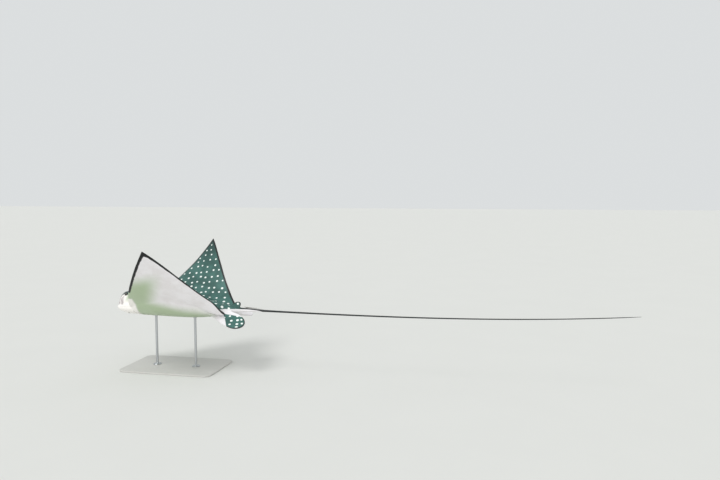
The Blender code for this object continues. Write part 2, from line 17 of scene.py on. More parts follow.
import bmesh
import bpy
import numpy as np
from bpy.types import Material, Mesh, Node, NodeSocket, NodeTree, Object
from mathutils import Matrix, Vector


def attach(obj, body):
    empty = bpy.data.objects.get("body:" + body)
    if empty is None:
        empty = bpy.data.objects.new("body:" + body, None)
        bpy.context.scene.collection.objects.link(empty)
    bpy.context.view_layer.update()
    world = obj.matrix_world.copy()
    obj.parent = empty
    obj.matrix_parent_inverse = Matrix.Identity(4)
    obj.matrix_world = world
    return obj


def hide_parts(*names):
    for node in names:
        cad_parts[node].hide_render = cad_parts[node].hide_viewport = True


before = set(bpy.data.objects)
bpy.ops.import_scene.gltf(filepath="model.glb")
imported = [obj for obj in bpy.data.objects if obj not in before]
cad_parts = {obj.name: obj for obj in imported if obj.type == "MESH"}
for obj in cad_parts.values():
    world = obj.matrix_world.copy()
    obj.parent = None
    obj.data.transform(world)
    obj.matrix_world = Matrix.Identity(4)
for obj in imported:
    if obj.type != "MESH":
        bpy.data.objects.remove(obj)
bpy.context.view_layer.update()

Array = np.ndarray
Pair = tuple[float, float]
Triple = tuple[float, float, float]
Describe = Callable[[Array, Array], dict[str, Array]]
LOG = logging.getLogger("eagle_ray")

DISC_WIDTH = 1.5                # metres, wing tip to wing tip along the flat disc
BODY_HEIGHT = 0.46              # metres, pose origin above the floor
CLEAR = 10.0                    # an `edge` value far inside every margin
UPWARD = 0.02                   # the `dark` value of a face that looks up, in metres
NUDGE = 1e-6                    # lets stations that are equal but for rounding pass as equal


# ---- curves
class Profile:
    """A smooth curve through a few (station, value) points that never overshoots them."""

    def __init__(self, *points: Pair) -> None:
        """Work out the slope at each point.

        Args:
            points: (station, value) pairs in rising order of station.
        """
        self.x, self.y = np.array(points, float).T
        step = np.diff(self.x)
        rise = np.diff(self.y) / step
        slope = np.concatenate(([rise[0]], np.zeros(len(self.x) - 2), [rise[-1]]))
        for i in range(1, len(self.x) - 1):
            if rise[i - 1] * rise[i] > 0:
                before = 2 * step[i] + step[i - 1]
                after = step[i] + 2 * step[i - 1]
                slope[i] = (before + after) / (before / rise[i - 1] + after / rise[i])
        self.step = step
        self.slope = slope

    def __call__(self, at: float | Array) -> Array:
        """Read the curve.

        Args:
            at: stations, held inside the curve's range.

        Returns:
            The value at each station.
        """
        at = np.clip(np.asarray(at, float), self.x[0], self.x[-1])
        k = np.clip(np.searchsorted(self.x, at) - 1, 0, len(self.step) - 1)
        h = self.step[k]
        t = (at - self.x[k]) / h
        start = self.y[k] * (1 + 2 * t) * (1 - t) ** 2 + self.slope[k] * h * t * (1 - t) ** 2
        end = self.y[k + 1] * t * t * (3 - 2 * t) + self.slope[k + 1] * h * t * t * (t - 1)
        return start + end


def smooth(at: float | Array, low: float, high: float) -> Array:
    """Ease from 0 at `low` to 1 at `high`, which may be the lower number."""
    t = np.clip((np.asarray(at, float) - low) / (high - low), 0, 1)
    return t * t * (3 - 2 * t)


def hump(at: float | Array, width: float) -> Array:
    """A rounded rise of height 1 at 0 that falls off over `width`."""
    return np.exp(-((np.asarray(at, float) / width) ** 2))


def bezier(points: Sequence[Pair], share: float | Array) -> Array:
    """Walk along a cubic Bezier curve.

    Args:
        points: its four control points.
        share: how far along it, from 0 to 1.

    Returns:
        One point for each share.
    """
    t = np.atleast_1d(np.asarray(share, float))[:, None]
    p = np.asarray(points, float)
    s = 1 - t
    return s ** 3 * p[0] + 3 * s * s * t * p[1] + 3 * s * t * t * p[2] + t ** 3 * p[3]


# ---- the animal's shape
@dataclass(frozen=True)
class BodyShape:
    """Sections of head, trunk and tail."""

    snout: float = 0.007            # station of the snout's tip
    half_width: Profile = Profile(
        (0.007, 0.0), (0.010, 0.013), (0.018, 0.029), (0.031, 0.041), (0.052, 0.051), (0.074, 0.064),
        (0.096, 0.0755), (0.125, 0.080), (0.20, 0.085), (0.32, 0.082), (0.44, 0.066), (0.555, 0.040),
        (0.62, 0.0205), (0.68, 0.0115), (0.745, 0.0070), (0.80, 0.0052), (1.00, 0.0041), (1.50, 0.0033),
        (2.00, 0.0026), (2.42, 0.0017), (2.494, 0.0007))
    back_line: Profile = Profile(
        (0.007, -0.015), (0.013, -0.009), (0.025, -0.002), (0.0305, 0.012), (0.0335, 0.034), (0.038, 0.050),
        (0.052, 0.062), (0.085, 0.067), (0.125, 0.067), (0.20, 0.062), (0.29, 0.059), (0.38, 0.052),
        (0.48, 0.038), (0.555, 0.0260), (0.62, 0.0160), (0.65, 0.0112), (0.68, 0.0088), (0.745, 0.0066),
        (0.80, 0.0049), (1.00, 0.0040), (1.50, 0.0032), (2.00, 0.0025), (2.42, 0.0017), (2.494, 0.0007))
    belly_line: Profile = Profile(
        (0.007, -0.015), (0.015, -0.026), (0.045, -0.041), (0.10, -0.048), (0.18, -0.050), (0.29, -0.051),
        (0.39, -0.051), (0.48, -0.046), (0.555, -0.031), (0.62, -0.0185), (0.68, -0.0098),
        (0.745, -0.0064), (0.80, -0.0048), (1.00, -0.0040), (1.50, -0.0032), (2.00, -0.0025),
        (2.42, -0.0017), (2.494, -0.0007))
    wall_line: Profile = Profile((0.007, -0.015), (0.035, -0.012), (0.10, 0.0))
    wall_half: Profile = Profile(
        (0.007, 0.0005), (0.015, 0.0025), (0.05, 0.005), (0.125, 0.012), (0.555, 0.0075), (0.62, 0.0045),
        (0.68, 0.0026), (0.80, 0.0011), (1.5, 0.0007), (2.494, 0.0002))
    wall_bulge: float = 0.35
    swell_reach: Profile = Profile(
        (0.125, 0.080), (0.16, 0.114), (0.20, 0.143), (0.27, 0.160), (0.38, 0.150), (0.47, 0.104),
        (0.555, 0.040))
    back_fullness: Profile = Profile(
        (0.010, 0.50), (0.034, 0.30), (0.07, 0.40), (0.125, 0.45), (0.16, 0.75), (0.22, 1.3),
        (0.35, 1.6), (0.47, 1.3), (0.555, 0.6), (0.62, 0.5))
    belly_fullness: Profile = Profile(
        (0.0, 0.5), (0.125, 0.5), (0.17, 0.7), (0.25, 1.0), (0.40, 1.0), (0.50, 0.7), (0.555, 0.5))
    tail_from: float = 0.68
    tail_to: float = 2.494
    tail_point: float = 2.497


@dataclass(frozen=True)
class WingShape:
    """Outline and thickness of a pectoral wing. Its margin runs from the origin (0) to the insertion (1)."""

    origin: Pair = (0.125, 0.080)
    tip: Pair = (0.3990, 0.500)
    rear: Pair = (0.6076, 0.076)
    insertion: Pair = (0.555, 0.040)
    lead_bends: tuple = ((0.155, 0.195), (0.2905, 0.379))
    trail_bends: tuple = ((0.439, 0.422), (0.495, 0.225))
    inner_bends: tuple = ((0.622, 0.062), (0.592, 0.050))
    at_tip: float = 0.50
    at_rear: float = 0.93
    root_share: Profile = Profile((0, 0), (0.50, 0.46), (0.93, 0.88), (1, 1))
    sheet_above: Profile = Profile(
        (0, 0.025), (0.08, 0.0238), (0.15, 0.0175), (0.25, 0.0102), (0.35, 0.0056), (0.45, 0.0023),
        (0.5, 0.0008))
    sheet_below: Profile = Profile(
        (0, 0.020), (0.08, 0.0187), (0.15, 0.0130), (0.25, 0.0067), (0.35, 0.0035), (0.45, 0.0014),
        (0.5, 0.0006))
    margin_half: Profile = Profile(
        (0, 0.012), (0.05, 0.0062), (0.18, 0.0028), (0.5, 0.0009), (0.9, 0.001), (0.95, 0.0014),
        (0.985, 0.004), (1, 0.0075))
    section_lean: float = 0.6
    section_fullness: float = 0.8

    def margin_at(self, run: float | Array) -> Array:
        """Points (a, b) of the right wing's margin.

        Args:
            run: places along the margin, 0 to 1.

        Returns:
            One point for each place.
        """
        run = np.atleast_1d(np.asarray(run, float))
        lead = bezier((self.origin, *self.lead_bends, self.tip), run / self.at_tip)
        behind = (run - self.at_tip) / (self.at_rear - self.at_tip)
        trail = bezier((self.tip, *self.trail_bends, self.rear), behind)
        last = (run - self.at_rear) / (1 - self.at_rear)
        inner = bezier((self.rear, *self.inner_bends, self.insertion), last)
        behind_tip = np.where((run > self.at_rear)[:, None], inner, trail)
        return np.where((run <= self.at_tip)[:, None], lead, behind_tip)

    @cached_property
    def traced(self) -> tuple[Array, Array]:
        """Many places along the margin, and the points there."""
        runs = np.linspace(0, 1, 401)
        return runs, self.margin_at(runs)

    def chord_share(self, a: Array, b: Array) -> Array:
        """Share of the chord in front of a point.

        Args:
            a: stations.
            b: distances out.

        Returns:
            0 on the leading edge, 1 on the trailing edge.
        """
        runs, points = self.traced
        ahead = runs <= self.at_tip
        front = np.interp(np.abs(b), points[ahead, 1], points[ahead, 0])
        back = np.interp(np.abs(b), points[~ahead][::-1, 1], points[~ahead][::-1, 0])
        return np.clip((a - front) / np.maximum(back - front, 1e-6), 0, 1)

    def section(self, share: Array) -> Array:
        """The wing's section along its chord: blunt in front, fine behind."""
        p = share ** self.section_lean
        return (4 * p * (1 - p)) ** self.section_fullness

    def run_of_root(self, a: Array) -> Array:
        """The place on the margin that the root's station `a` is joined to."""
        runs = self.traced[0]
        share = (a - self.origin[0]) / (self.insertion[0] - self.origin[0])
        return np.interp(share, self.root_share(runs), runs)

    def holds(self, a: Array) -> Array:
        """Whether the wing's root passes each station."""
        return (a >= self.origin[0]) & (a <= self.insertion[0])


@dataclass(frozen=True)
class Pose:
    """How the flat animal is bent, tilted and set over the base."""

    origin: float = 0.32
    lift: float = 0.2032
    curl: float = 0.6886
    curl_power: float = 0.2755
    root_bend: Pair = (0.05, 0.19)
    curl_starts_by: float = 0.09
    twist: float = 1.3075
    twist_station: float = 0.37
    twist_reach: Pair = (0.05, 0.62)
    stiff_head: Pair = (0.09, 0.17)
    side_share: float = 0.1475
    tip_sweep: float = -0.1688
    bank: float = -0.0921
    nose_up: float = 0.0151
    tail_rise: Pair = (0.0018, 0.0088)
    tail_rise_from: float = 0.62
    droop: float = 0.034            # how far the left wing's free rear corner hangs
    droop_out: Pair = (0.030, 0.076)
    droop_fades: Pair = (0.060, 0.14)
    droop_back: Pair = (0.46, 0.60)
    droop_above: Pair = (-0.045, -0.008)
    half_span: float = 0.5
    steps: int = 32

    def bend_angle(self, out: Array) -> Array:
        """How far the wing's plane is turned up at a distance out, in radians."""
        root = self.lift * smooth(out, *self.root_bend)
        curl = self.curl * (out / self.half_span) ** self.curl_power
        return root + curl * smooth(out, 0, self.curl_starts_by)

    def place(self, points: Array) -> Array:
        """Set points of the flat animal in the room.

        Args:
            points: (n, 3) array in disc widths.

        Returns:
            (n, 3) array in metres.
        """
        a, c = points[:, 0], points[:, 2]
        out = np.abs(points[:, 1])
        side = np.where(points[:, 1] < 0, -1.0, 1.0)
        share = 1 + self.twist * (np.clip(a, *self.twist_reach) - self.twist_station)
        share = share * smooth(a, *self.stiff_head) * (1 + self.side_share * side)
        shares = (np.arange(self.steps) + 0.5) / self.steps
        angles = self.bend_angle(out[:, None] * shares) * share[:, None]
        end = self.bend_angle(out) * share
        back = np.clip(a - self.tail_rise_from, 0, None)
        x = a + self.tip_sweep * out ** 2 - self.origin
        y = side * (np.cos(angles).mean(axis=1) * out - c * np.sin(end))
        z = np.sin(angles).mean(axis=1) * out + c * np.cos(end)
        z = z + self.tail_rise[0] * back ** 2 + self.tail_rise[1] * back ** 3
        corner = smooth(out, *self.droop_out) * (1 - smooth(out, *self.droop_fades))
        corner = corner * smooth(a, *self.droop_back)
        z = z - self.droop * np.where(side < 0, 1, 0) * corner * smooth(c, *self.droop_above)
        banked_y = y * math.cos(self.bank) - z * math.sin(self.bank)
        banked_z = y * math.sin(self.bank) + z * math.cos(self.bank)
        pitched_x = x * math.cos(self.nose_up) + banked_z * math.sin(self.nose_up)
        pitched_z = banked_z * math.cos(self.nose_up) - x * math.sin(self.nose_up)
        world = np.column_stack((pitched_x, banked_y, pitched_z)) * DISC_WIDTH
        return world + np.array((0, 0, BODY_HEIGHT))


@dataclass(frozen=True)
class EyePlace:
    """Where the right eye sits in the flat animal. The left one mirrors it."""

    centre: Triple = (0.0755, 0.0450, 0.0480)
    radius: float = 0.0105
    gaze: Triple = (-0.16, 0.84, 0.44)

    def axis(self, side: int) -> Array:
        """The way the eye looks, as a unit vector, on side 1 (right) or -1 (left)."""
        way = np.array(self.gaze) * (1, side, 1)
        return way / np.linalg.norm(way)

    def middle(self, side: int) -> Array:
        """The ball's centre on side 1 (right) or -1 (left)."""
        return np.array(self.centre) * (1, side, 1)

    def frame(self, side: int) -> tuple[Array, Array, Array]:
        """Three unit vectors: the way the eye looks, the way to the snout, and the way to the brow."""
        axis = self.axis(side)
        ahead = np.array((-1.0, 0, 0)) + axis[0] * axis
        ahead /= np.linalg.norm(ahead)
        return axis, ahead, np.cross(axis, ahead) * side


BODY = BodyShape()
WING = WingShape()
POSE = Pose()
EYE = EyePlace()


# ---- the skin
class Side(Enum):
    """The animal's two sides, as the sign of `b`."""

    LEFT = -1
    RIGHT = 1


class Region(Enum):
    """What a point of the skin belongs to."""

    BODY = 0
    WING = 1
    PELVIC_LEFT = 2
    PELVIC_RIGHT = 3
    DORSAL = 4


@dataclass
class SkinMesh:
    """Points of the flat animal, what the finish reads at each, and the faces between them."""

    flat: list[Array] = field(default_factory=list)
    values: dict[str, list[Array]] = field(default_factory=dict)
    faces: list[tuple[int, ...]] = field(default_factory=list)
    count: int = 0

    def add(self, points: Array, values: dict[str, Array]) -> Array:
        """Add points.

        Args:
            points: any array of points whose last axis is (a, b, c).
            values: one array for each value, in the shape of the points.

        Returns:
            The points' numbers, in the same shape.
        """
        shape = points.shape[:-1]
        size = int(np.prod(shape))
        self.flat.append(points.reshape(-1, 3))
        for name, value in values.items():
            whole = np.broadcast_to(np.asarray(value, float), shape).reshape(-1)
            self.values.setdefault(name, []).append(whole)
        numbers = np.arange(self.count, self.count + size).reshape(shape)
        self.count += size
        return numbers

    def face(self, corners: Sequence[int]) -> None:
        """Add a face, leaving out corners that fall together."""
        distinct = tuple(dict.fromkeys(int(corner) for corner in corners))
        if len(distinct) > 2:
            self.faces.append(distinct)

    def sheet(self, grid: Array, leave_out: Array | None = None) -> None:
        """Add the faces between the rows of a grid.

        Args:
            grid: point numbers in rows and columns.
            leave_out: True for each face to be left open.
        """
        corners = np.stack((grid[:-1, :-1], grid[:-1, 1:], grid[1:, 1:], grid[1:, :-1]), axis=-1)
        if leave_out is not None:
            corners = corners[~leave_out]
        for four in corners.reshape(-1, 4).tolist():
            self.face(four)


@dataclass(frozen=True)
class SkinCounts:
    """Numbers of faces. Those round the body are whole multiples of the solids' counts."""

    top: int = 60
    wall: int = 4
    belly: int = 64
    solid_top: int = 10
    solid_belly: int = 8
    edge_rows: tuple[int, int, int] = (96, 48, 20)
    solid_edge_rows: tuple[int, int, int] = (12, 12, 5)
    solid_aft_rings: int = 11
    aft_rings: int = 44
    aft_to: float = 0.665
    wing_columns: int = 44
    pelvic_columns: int = 22
    dorsal_columns: int = 16
    tail_rings: int = 260
    tail_skips: int = 4
    eye_crowding: float = 0.55
    mouth_crowding: float = 0.35
    crowding_fades: Pair = (0.11, 0.16)
    head_spacing: Profile = Profile(
        (0.0, 0.0004), (0.010, 0.0004), (0.013, 0.0008), (0.025, 0.0008), (0.029, 0.0004),
        (0.036, 0.0005), (0.042, 0.0010), (0.092, 0.0010), (0.125, 0.0018))

    @property
    def around(self) -> int:
        """Faces round one ring."""
        return self.top + self.belly + 2 * self.wall


@dataclass(frozen=True)
class Fin:
    """A small fin: its root's first and last stations, its half thickness, and its outline's two curves."""

    root: Pair
    half: float
    front: tuple
    back: tuple


@dataclass(frozen=True)
class PelvicSide:
    """What one pelvic fin has of its own."""

    region: Region
    droop: float                    # degrees below level
    spread: float                   # its length along the body, as a share
    dark_to: float                  # how far back its upper side is dark


@dataclass
class RaySkin:
    """The one skin over the whole animal, closed and without seams."""

    counts: SkinCounts = field(default_factory=SkinCounts)
    mesh: SkinMesh = field(default_factory=SkinMesh)
    joints: list[Array] = field(default_factory=list)
    pelvic: Fin = Fin(
        (0.520, 0.616), 0.0022, ((0, 0), (0.046, 0.030), (0.100, 0.100), (0.158, 0.124)),
        ((0.158, 0.124), (0.216, 0.134), (0.222, 0.052)))
    pelvic_left: PelvicSide = PelvicSide(Region.PELVIC_LEFT, 56, 1.0, 1.0)
    pelvic_right: PelvicSide = PelvicSide(Region.PELVIC_RIGHT, 42, 0.86, 0.104)
    pelvic_pale_front: Pair = (0.067, 0.53)  # its upper side is pale before this line
    pelvic_pale_root: Pair = (0.015, 0.356)  # and within this one, by the body
    pelvic_chart: float = 1.36      # packs the spots closer than on the back
    pelvic_chart_at: Pair = (0.5, 0.3)  # sets its colours away from the back's
    pelvic_spots: float = 1.35      # their size, as a share of the back's
    pelvic_spots_from: Pair = (0.006, 0.014)  # metres from the margin where they begin
    pelvic_edge: float = 0.009      # its black margin, in metres
    dorsal: Fin = Fin(
        (0.614, 0.656), 0.0016, ((0, 0), (0.010, 0.010), (0.022, 0.020), (0.034, 0.020)),
        ((0.034, 0.020), (0.048, 0.020), (0.050, 0.009)))
    dorsal_edge: float = 0.005      # its black margin, in metres
    dorsal_chart: float = 0.45      # sets its colours away from the back's
    dorsal_spot: Pair = (0.0335, 0.0115)  # its one white spot
    dorsal_spot_reach: float = 0.0058
    dorsal_spot_rise: float = 30.0  # how sharply the spot ends
    rim_bulge: float = 0.6
    front_rows: int = 30            # rows of the wing's root, from its front, blended into the head
    # Where the dark back ends above the pale underside, as a height at each station.
    dark_from: Profile = Profile(
        (0.0, 0.030), (0.0335, 0.022), (0.038, 0.034), (0.045, 0.041), (0.055, 0.047), (0.085, 0.049),
        (0.100, 0.046), (0.118, 0.035), (0.126, 0.012), (0.14, 0.0), (0.56, 0.0), (0.62, 0.002),
        (0.70, 0.0037), (0.745, 0.0012), (0.775, -0.004), (0.80, -0.020))
    # Width of the black band under the wing at each place of its margin, in metres.
    band: Profile = Profile(
        (0, 0.0003), (0.195, 0.0003), (0.215, 0.0130), (0.30, 0.0170), (0.42, 0.0175), (0.47, 0.0215),
        (0.5, 0.0300), (0.56, 0.0160), (0.66, 0.0120), (0.80, 0.0075), (0.92, 0.0045), (1, 0.0030))
    rim_dark: Pair = (0.190, 0.215)  # where along the margin its rim turns dark
    rim_reach: Pair = (0.85, 0.3)   # how far it is dark below, or pale above
    rim_width: float = 0.016        # the black edge on the wing's upper face, in metres
    rim_clear: float = 3.0          # keeps the band off the rim where the rim is pale
    wing_spots_from: Pair = (0.013, 0.026)  # metres from the margin where spots begin
    wing_spots_shrink: float = 0.30  # how much smaller they are out by the tip

    def stations(self, rows: tuple[int, int, int], aft: int) -> Array:
        """Rings of the trunk.

        Args:
            rows: rows of the wing along its leading, trailing and inner edges.
            aft: rings behind the wing.

        Returns:
            The rings' stations.
        """
        root = WING.origin[0] + (WING.insertion[0] - WING.origin[0]) * WING.root_share(self.runs(rows))
        behind = np.linspace(WING.insertion[0], self.counts.aft_to, aft + 1)[1:]
        return np.concatenate((root, behind, (BODY.tail_from,)))

    def runs(self, rows: tuple[int, int, int]) -> Array:
        """Places along the wing's margin, for so many rows on its three edges."""
        lead, trail, inner = rows
        first = np.linspace(0, WING.at_tip, lead + 1)
        second = np.linspace(WING.at_tip, WING.at_rear, trail + 1)[1:]
        third = np.linspace(WING.at_rear, 1, inner + 1)[1:]
        return np.concatenate((first, second, third))

    def head_stations(self) -> Array:
        """Rings of the head, closest at the snout and round the eyes."""
        found = [BODY.snout + float(self.counts.head_spacing(0))]
        while found[-1] < WING.origin[0]:
            found.append(found[-1] + float(self.counts.head_spacing(found[-1])))
        found = np.array(found) - BODY.snout
        return BODY.snout + found[:-1] * (WING.origin[0] - BODY.snout) / found[-1]

    def surface(self, a: Array, b: Array, edge: Array, upper: bool) -> Array:
        """Height of the wing-bearing part of the body.

        Args:
            a: stations.
            b: distances out.
            edge: half thickness at the margin that each point's row runs to.
            upper: whether the upper face is wanted.

        Returns:
            Heights, negative on the lower face.
        """
        sheet = WING.sheet_above if upper else WING.sheet_below
        line = BODY.back_line(a) if upper else -BODY.belly_line(a)
        fullness = BODY.back_fullness(a) if upper else BODY.belly_fullness(a)
        root_edge = WING.margin_half(WING.run_of_root(a))
        swell = line - root_edge - sheet(0) * WING.section(WING.chord_share(a, 0 * a))
        reach = np.clip(1 - (np.abs(b) / BODY.swell_reach(a)) ** 2, 0, 1)
        chord = WING.section(WING.chord_share(a, b))
        height = edge + sheet(np.abs(b)) * chord + swell * reach ** fullness
        return height if upper else -height

    def across(self, a: Array, upper: bool) -> Array:
        """Distances out of a ring's points on its upper or lower side, closer where detail needs it."""
        count = self.counts.top if upper else self.counts.belly
        crowding = self.counts.eye_crowding if upper else -self.counts.mouth_crowding
        crowding = crowding * (1 - smooth(a, *self.counts.crowding_fades))
        u = np.linspace(-1, 1, count + 1)
        turned = u + crowding * np.sin(2 * math.pi * u) / (2 * math.pi)
        out = BODY.half_width(a) * np.sin(turned * math.pi / 2)
        return out if upper else out[:, ::-1]

    def rings(self, stations: Array) -> Array:
        """Closed sections: across the back to the right, down the wall, under, and up the left wall.

        Args:
            stations: one for each ring.

        Returns:
            (rings, points round, 3) array.
        """
        a = stations[:, None]
        winged = WING.holds(a)
        edge = np.where(winged, WING.margin_half(WING.run_of_root(a)), BODY.wall_half(a))
        width = BODY.half_width(a)
        faces = {}
        for upper in (True, False):
            b = self.across(a, upper)
            sign = 1 if upper else -1
            wall = BODY.wall_line(a) + sign * edge
            line = BODY.back_line(a) if upper else BODY.belly_line(a)
            fullness = BODY.back_fullness(a) if upper else BODY.belly_fullness(a)
            plain = wall + (line - wall) * (1 - np.clip((b / width) ** 2, 0, 1)) ** fullness
            bearing = self.surface(a + 0 * b, b, edge + 0 * b, upper)
            faces[upper] = (b, np.where(winged, bearing, plain))
        top_b, top = faces[True]
        belly_b, under = faces[False]
        turn = np.linspace(1, -1, self.counts.wall + 1)[1:-1]
        middle = (top[:, -1:] + under[:, :1]) / 2 + (top[:, -1:] - under[:, :1]) / 2 * turn
        bulge = width + BODY.wall_bulge * edge * np.sqrt(1 - turn ** 2)
        b = np.concatenate((top_b, bulge, belly_b, -bulge[:, ::-1]), axis=1)
        c = np.concatenate((top, middle, under, middle[:, ::-1]), axis=1)
        return np.stack((a + 0 * b, b, c), axis=-1)

    def girth(self, rings: Array) -> tuple[Array, Array]:
        """Distances along each ring, signed by side.

        Args:
            rings: as `rings` gives them.

        Returns:
            The distance from the middle of the back, and that from the middle of the belly.
        """
        count = self.counts.around
        crown = self.counts.top // 2
        keel = self.counts.top + self.counts.wall + self.counts.belly // 2
        from_back = np.zeros(rings.shape[:2])
        from_belly = np.zeros(rings.shape[:2])
        right = np.arange(crown, keel + 1)
        left = np.arange(crown, keel - count, -1) % count
        for sign, order in ((-1, left), (1, right)):
            path = rings[:, order, 1:]
            steps = np.linalg.norm(np.diff(path, axis=1), axis=2)
            run = np.concatenate((np.zeros((len(rings), 1)), np.cumsum(steps, axis=1)), axis=1)
            from_back[:, order] = sign * run
            from_belly[:, order] = sign * (run[:, -1:] - run)
        return from_back, from_belly

    def body_values(self, rings: Array) -> dict[str, Array]:
        """What the finish reads on the body's rings."""
        from_back, from_belly = self.girth(rings)
        a, c = rings[..., 0], rings[..., 2]
        count = self.counts
        above = np.concatenate((
            np.ones(count.top + 1), np.linspace(1, -1, count.wall + 1)[1:-1], -np.ones(count.belly + 1),
            np.linspace(-1, 1, count.wall + 1)[1:-1]))
        # The spots begin on the forehead, are smaller on the head and end on the tail's root.
        size = smooth(a, 0.040, 0.075) * (0.62 + 0.38 * smooth(a, 0.08, 0.2)) * (1 - smooth(a, 0.60, 0.70))
        return {
            "chart_x": a, "chart_y": from_back, "under_y": from_belly, "above": above + 0 * a,
            "dark": (c - self.dark_from(a)) * DISC_WIDTH, "edge": CLEAR + 0 * a, "spots": size,
            "region": Region.BODY.value + 0 * a,
        }

    def build_body(self) -> tuple[Array, Array]:
        """Add the body's rings and the faces between them.

        Returns:
            The rings' stations and their point numbers.
        """
        count = self.counts
        trunk = self.stations(count.edge_rows, count.aft_rings)
        stations = np.concatenate((self.head_stations(), trunk))
        rings = self.rings(stations)
        numbers = self.mesh.add(rings, self.body_values(rings))
        round_trip = np.concatenate((numbers, numbers[:, :1]), axis=1)
        middle = (stations[1:] + stations[:-1]) / 2
        leave_out = np.zeros((len(stations) - 1, count.around), bool)
        winged = WING.holds(middle)
        wall = np.arange(count.top, count.top + count.wall)
        leave_out[np.ix_(winged, wall)] = True
        leave_out[np.ix_(winged, count.around - 1 - (wall - count.top))] = True
        right, left = self.pelvic_strip(Side.RIGHT)[:-1], self.pelvic_strip(Side.LEFT)[1:]
        for fin, strip in ((self.pelvic, right), (self.pelvic, left), (self.dorsal, self.dorsal_strip()[1:])):
            start, end = self.span(fin)
            leave_out[np.ix_((middle > start) & (middle < end), strip)] = True
        self.mesh.sheet(round_trip, leave_out)
        self.close_snout(numbers[0])
        self.build_tail(numbers[-1])
        return stations, numbers

    def close_snout(self, ring: Array) -> None:
        """Close the head's first ring with a point."""
        tip = np.array((BODY.snout, 0.0, float(BODY.wall_line(BODY.snout))))
        values = {"chart_x": 0, "chart_y": 0, "under_y": 0, "above": 0, "edge": CLEAR, "spots": 0,
                  "dark": -UPWARD, "region": Region.BODY.value}
        point = int(self.mesh.add(tip, values))
        for k in range(len(ring)):
            self.mesh.face((ring[k], ring[(k + 1) % len(ring)], point))

    def build_tail(self, trunk: Array) -> None:
        """Add the tail, on fewer points round than the trunk.

        Args:
            trunk: point numbers of the trunk's last ring.
        """
        skips = self.counts.tail_skips
        run = np.linspace(0, 1, self.counts.tail_rings + 1)[1:]
        stations = BODY.tail_from + (BODY.tail_to - BODY.tail_from) * run
        rings = self.rings(stations)
        values = {name: value[:, ::skips] for name, value in self.body_values(rings).items()}
        numbers = self.mesh.add(rings[:, ::skips], values)
        around = numbers.shape[1]
        for k in range(around):
            after = (k + 1) % around
            seam = [trunk[(k * skips + step) % len(trunk)] for step in range(skips + 1)]
            self.mesh.face((*seam, numbers[0, after], numbers[0, k]))
        self.mesh.sheet(np.concatenate((numbers, numbers[:, :1]), axis=1))
        end = {name: value[-1, :1].mean() for name, value in values.items()}
        point = int(self.mesh.add(np.array((BODY.tail_point, 0.0, 0.0)), end))
        for k in range(around):
            self.mesh.face((numbers[-1, k], numbers[-1, (k + 1) % around], point))

    def span(self, fin: Fin) -> Pair:
        """The first and last of the solids' rings that a small fin's root reaches."""
        rings = self.stations(self.counts.solid_edge_rows, self.counts.solid_aft_rings)
        inside = rings[(rings > fin.root[0] - NUDGE) & (rings < fin.root[1] + NUDGE)]
        return float(inside[0]), float(inside[-1])

    def fin_root(self, fin: Fin, stations: Array, places: Array) -> tuple[Array, Array, Array]:
        """Where a small fin stands on the body's right side.

        Args:
            fin: the fin.
            stations: the body's rings.
            places: ring places of its root.

        Returns:
            The numbers of its rings, their points at those places, and the way from its first point
            to its last along the root's middle.
        """
        start, end = self.span(fin)
        rows = np.nonzero((stations > start - NUDGE) & (stations < end + NUDGE))[0]
        strip = self.rings(stations[rows])[:, places]
        spine = strip[:, strip.shape[1] // 2]
        return rows, strip, spine[-1] - spine[0]

    def pelvic_strip(self, side: Side) -> Array:
        """Ring places of a pelvic fin's root, from its upper face to its lower one."""
        count = self.counts
        first = count.top + count.wall
        width = 2 * count.belly // count.solid_belly
        if side is Side.RIGHT:
            return np.arange(first, first + width + 1)
        last = first + count.belly
        return np.arange(last, last - width - 1, -1)

    def dorsal_strip(self) -> Array:
        """Ring places of the dorsal fin's root, from right to left."""
        middle = self.counts.top // 2
        half = self.counts.top // self.counts.solid_top
        return np.arange(middle + half, middle - half - 1, -1)

    def fan(self, root: Array, strip: Array, margin: Array, half: float | Array, across: Sequence[float],
            columns: int, side: Side, describe: Describe, shaped: bool = False) -> None:
        """Add a fin that fans out from a strip of the body to a free margin.

        Args:
            root: point numbers of the strip, rows by steps from the upper face to the lower.
            strip: where those points are on the right side.
            margin: one point for each row.
            half: half thickness at the margin, of all rows or of each.
            across: the way of the fin's thickness.
            columns: faces from root to margin.
            side: the side to build on.
            describe: gives the finish's values for points and for how far up each looks, -1 to 1.
            shaped: whether the two faces follow the wing's surface.
        """
        rows, steps = root.shape
        across, half = np.asarray(across, float), np.broadcast_to(half, rows)
        along = np.gradient(margin, axis=0)
        outward = np.cross(along, across)
        outward /= np.linalg.norm(outward, axis=1)[:, None]
        turn = np.linspace(0.5, -0.5, steps)[None, :, None] * math.pi
        edge = np.sin(turn) * across + self.rim_bulge * np.cos(turn) * outward[:, None]
        rim_points = margin[:, None] + half[:, None, None] * edge
        rim = np.array(root)
        up = np.broadcast_to(np.sin(turn[..., 0]), rim_points.shape[:2])
        rim[1:-1] = self.add_on(rim_points[1:-1], up[1:-1], side, describe)
        shares = np.sin(np.linspace(0, 1, columns + 1)[1:-1] * math.pi / 2)[None, :, None]
        for step, sign in ((0, 1.0), (steps - 1, -1.0)):
            start, end = strip[:, step][:, None], rim_points[:, step][:, None]
            points = start + (end - start) * shares
            if shaped:
                thin = half[:, None] + 0 * points[..., 0]
                points[..., 2] = self.surface(points[..., 0], points[..., 1], thin, sign > 0)
            grid = np.empty((rows, columns + 1), int)
            grid[:, 0] = root[:, step]
            grid[:, -1] = rim[:, step]
            grid[0] = root[0, step]
            grid[-1] = root[-1, step]
            looks = np.full(points.shape[:2], sign)
            grid[1:-1, 1:-1] = self.add_on(points[1:-1], looks[1:-1], side, describe)
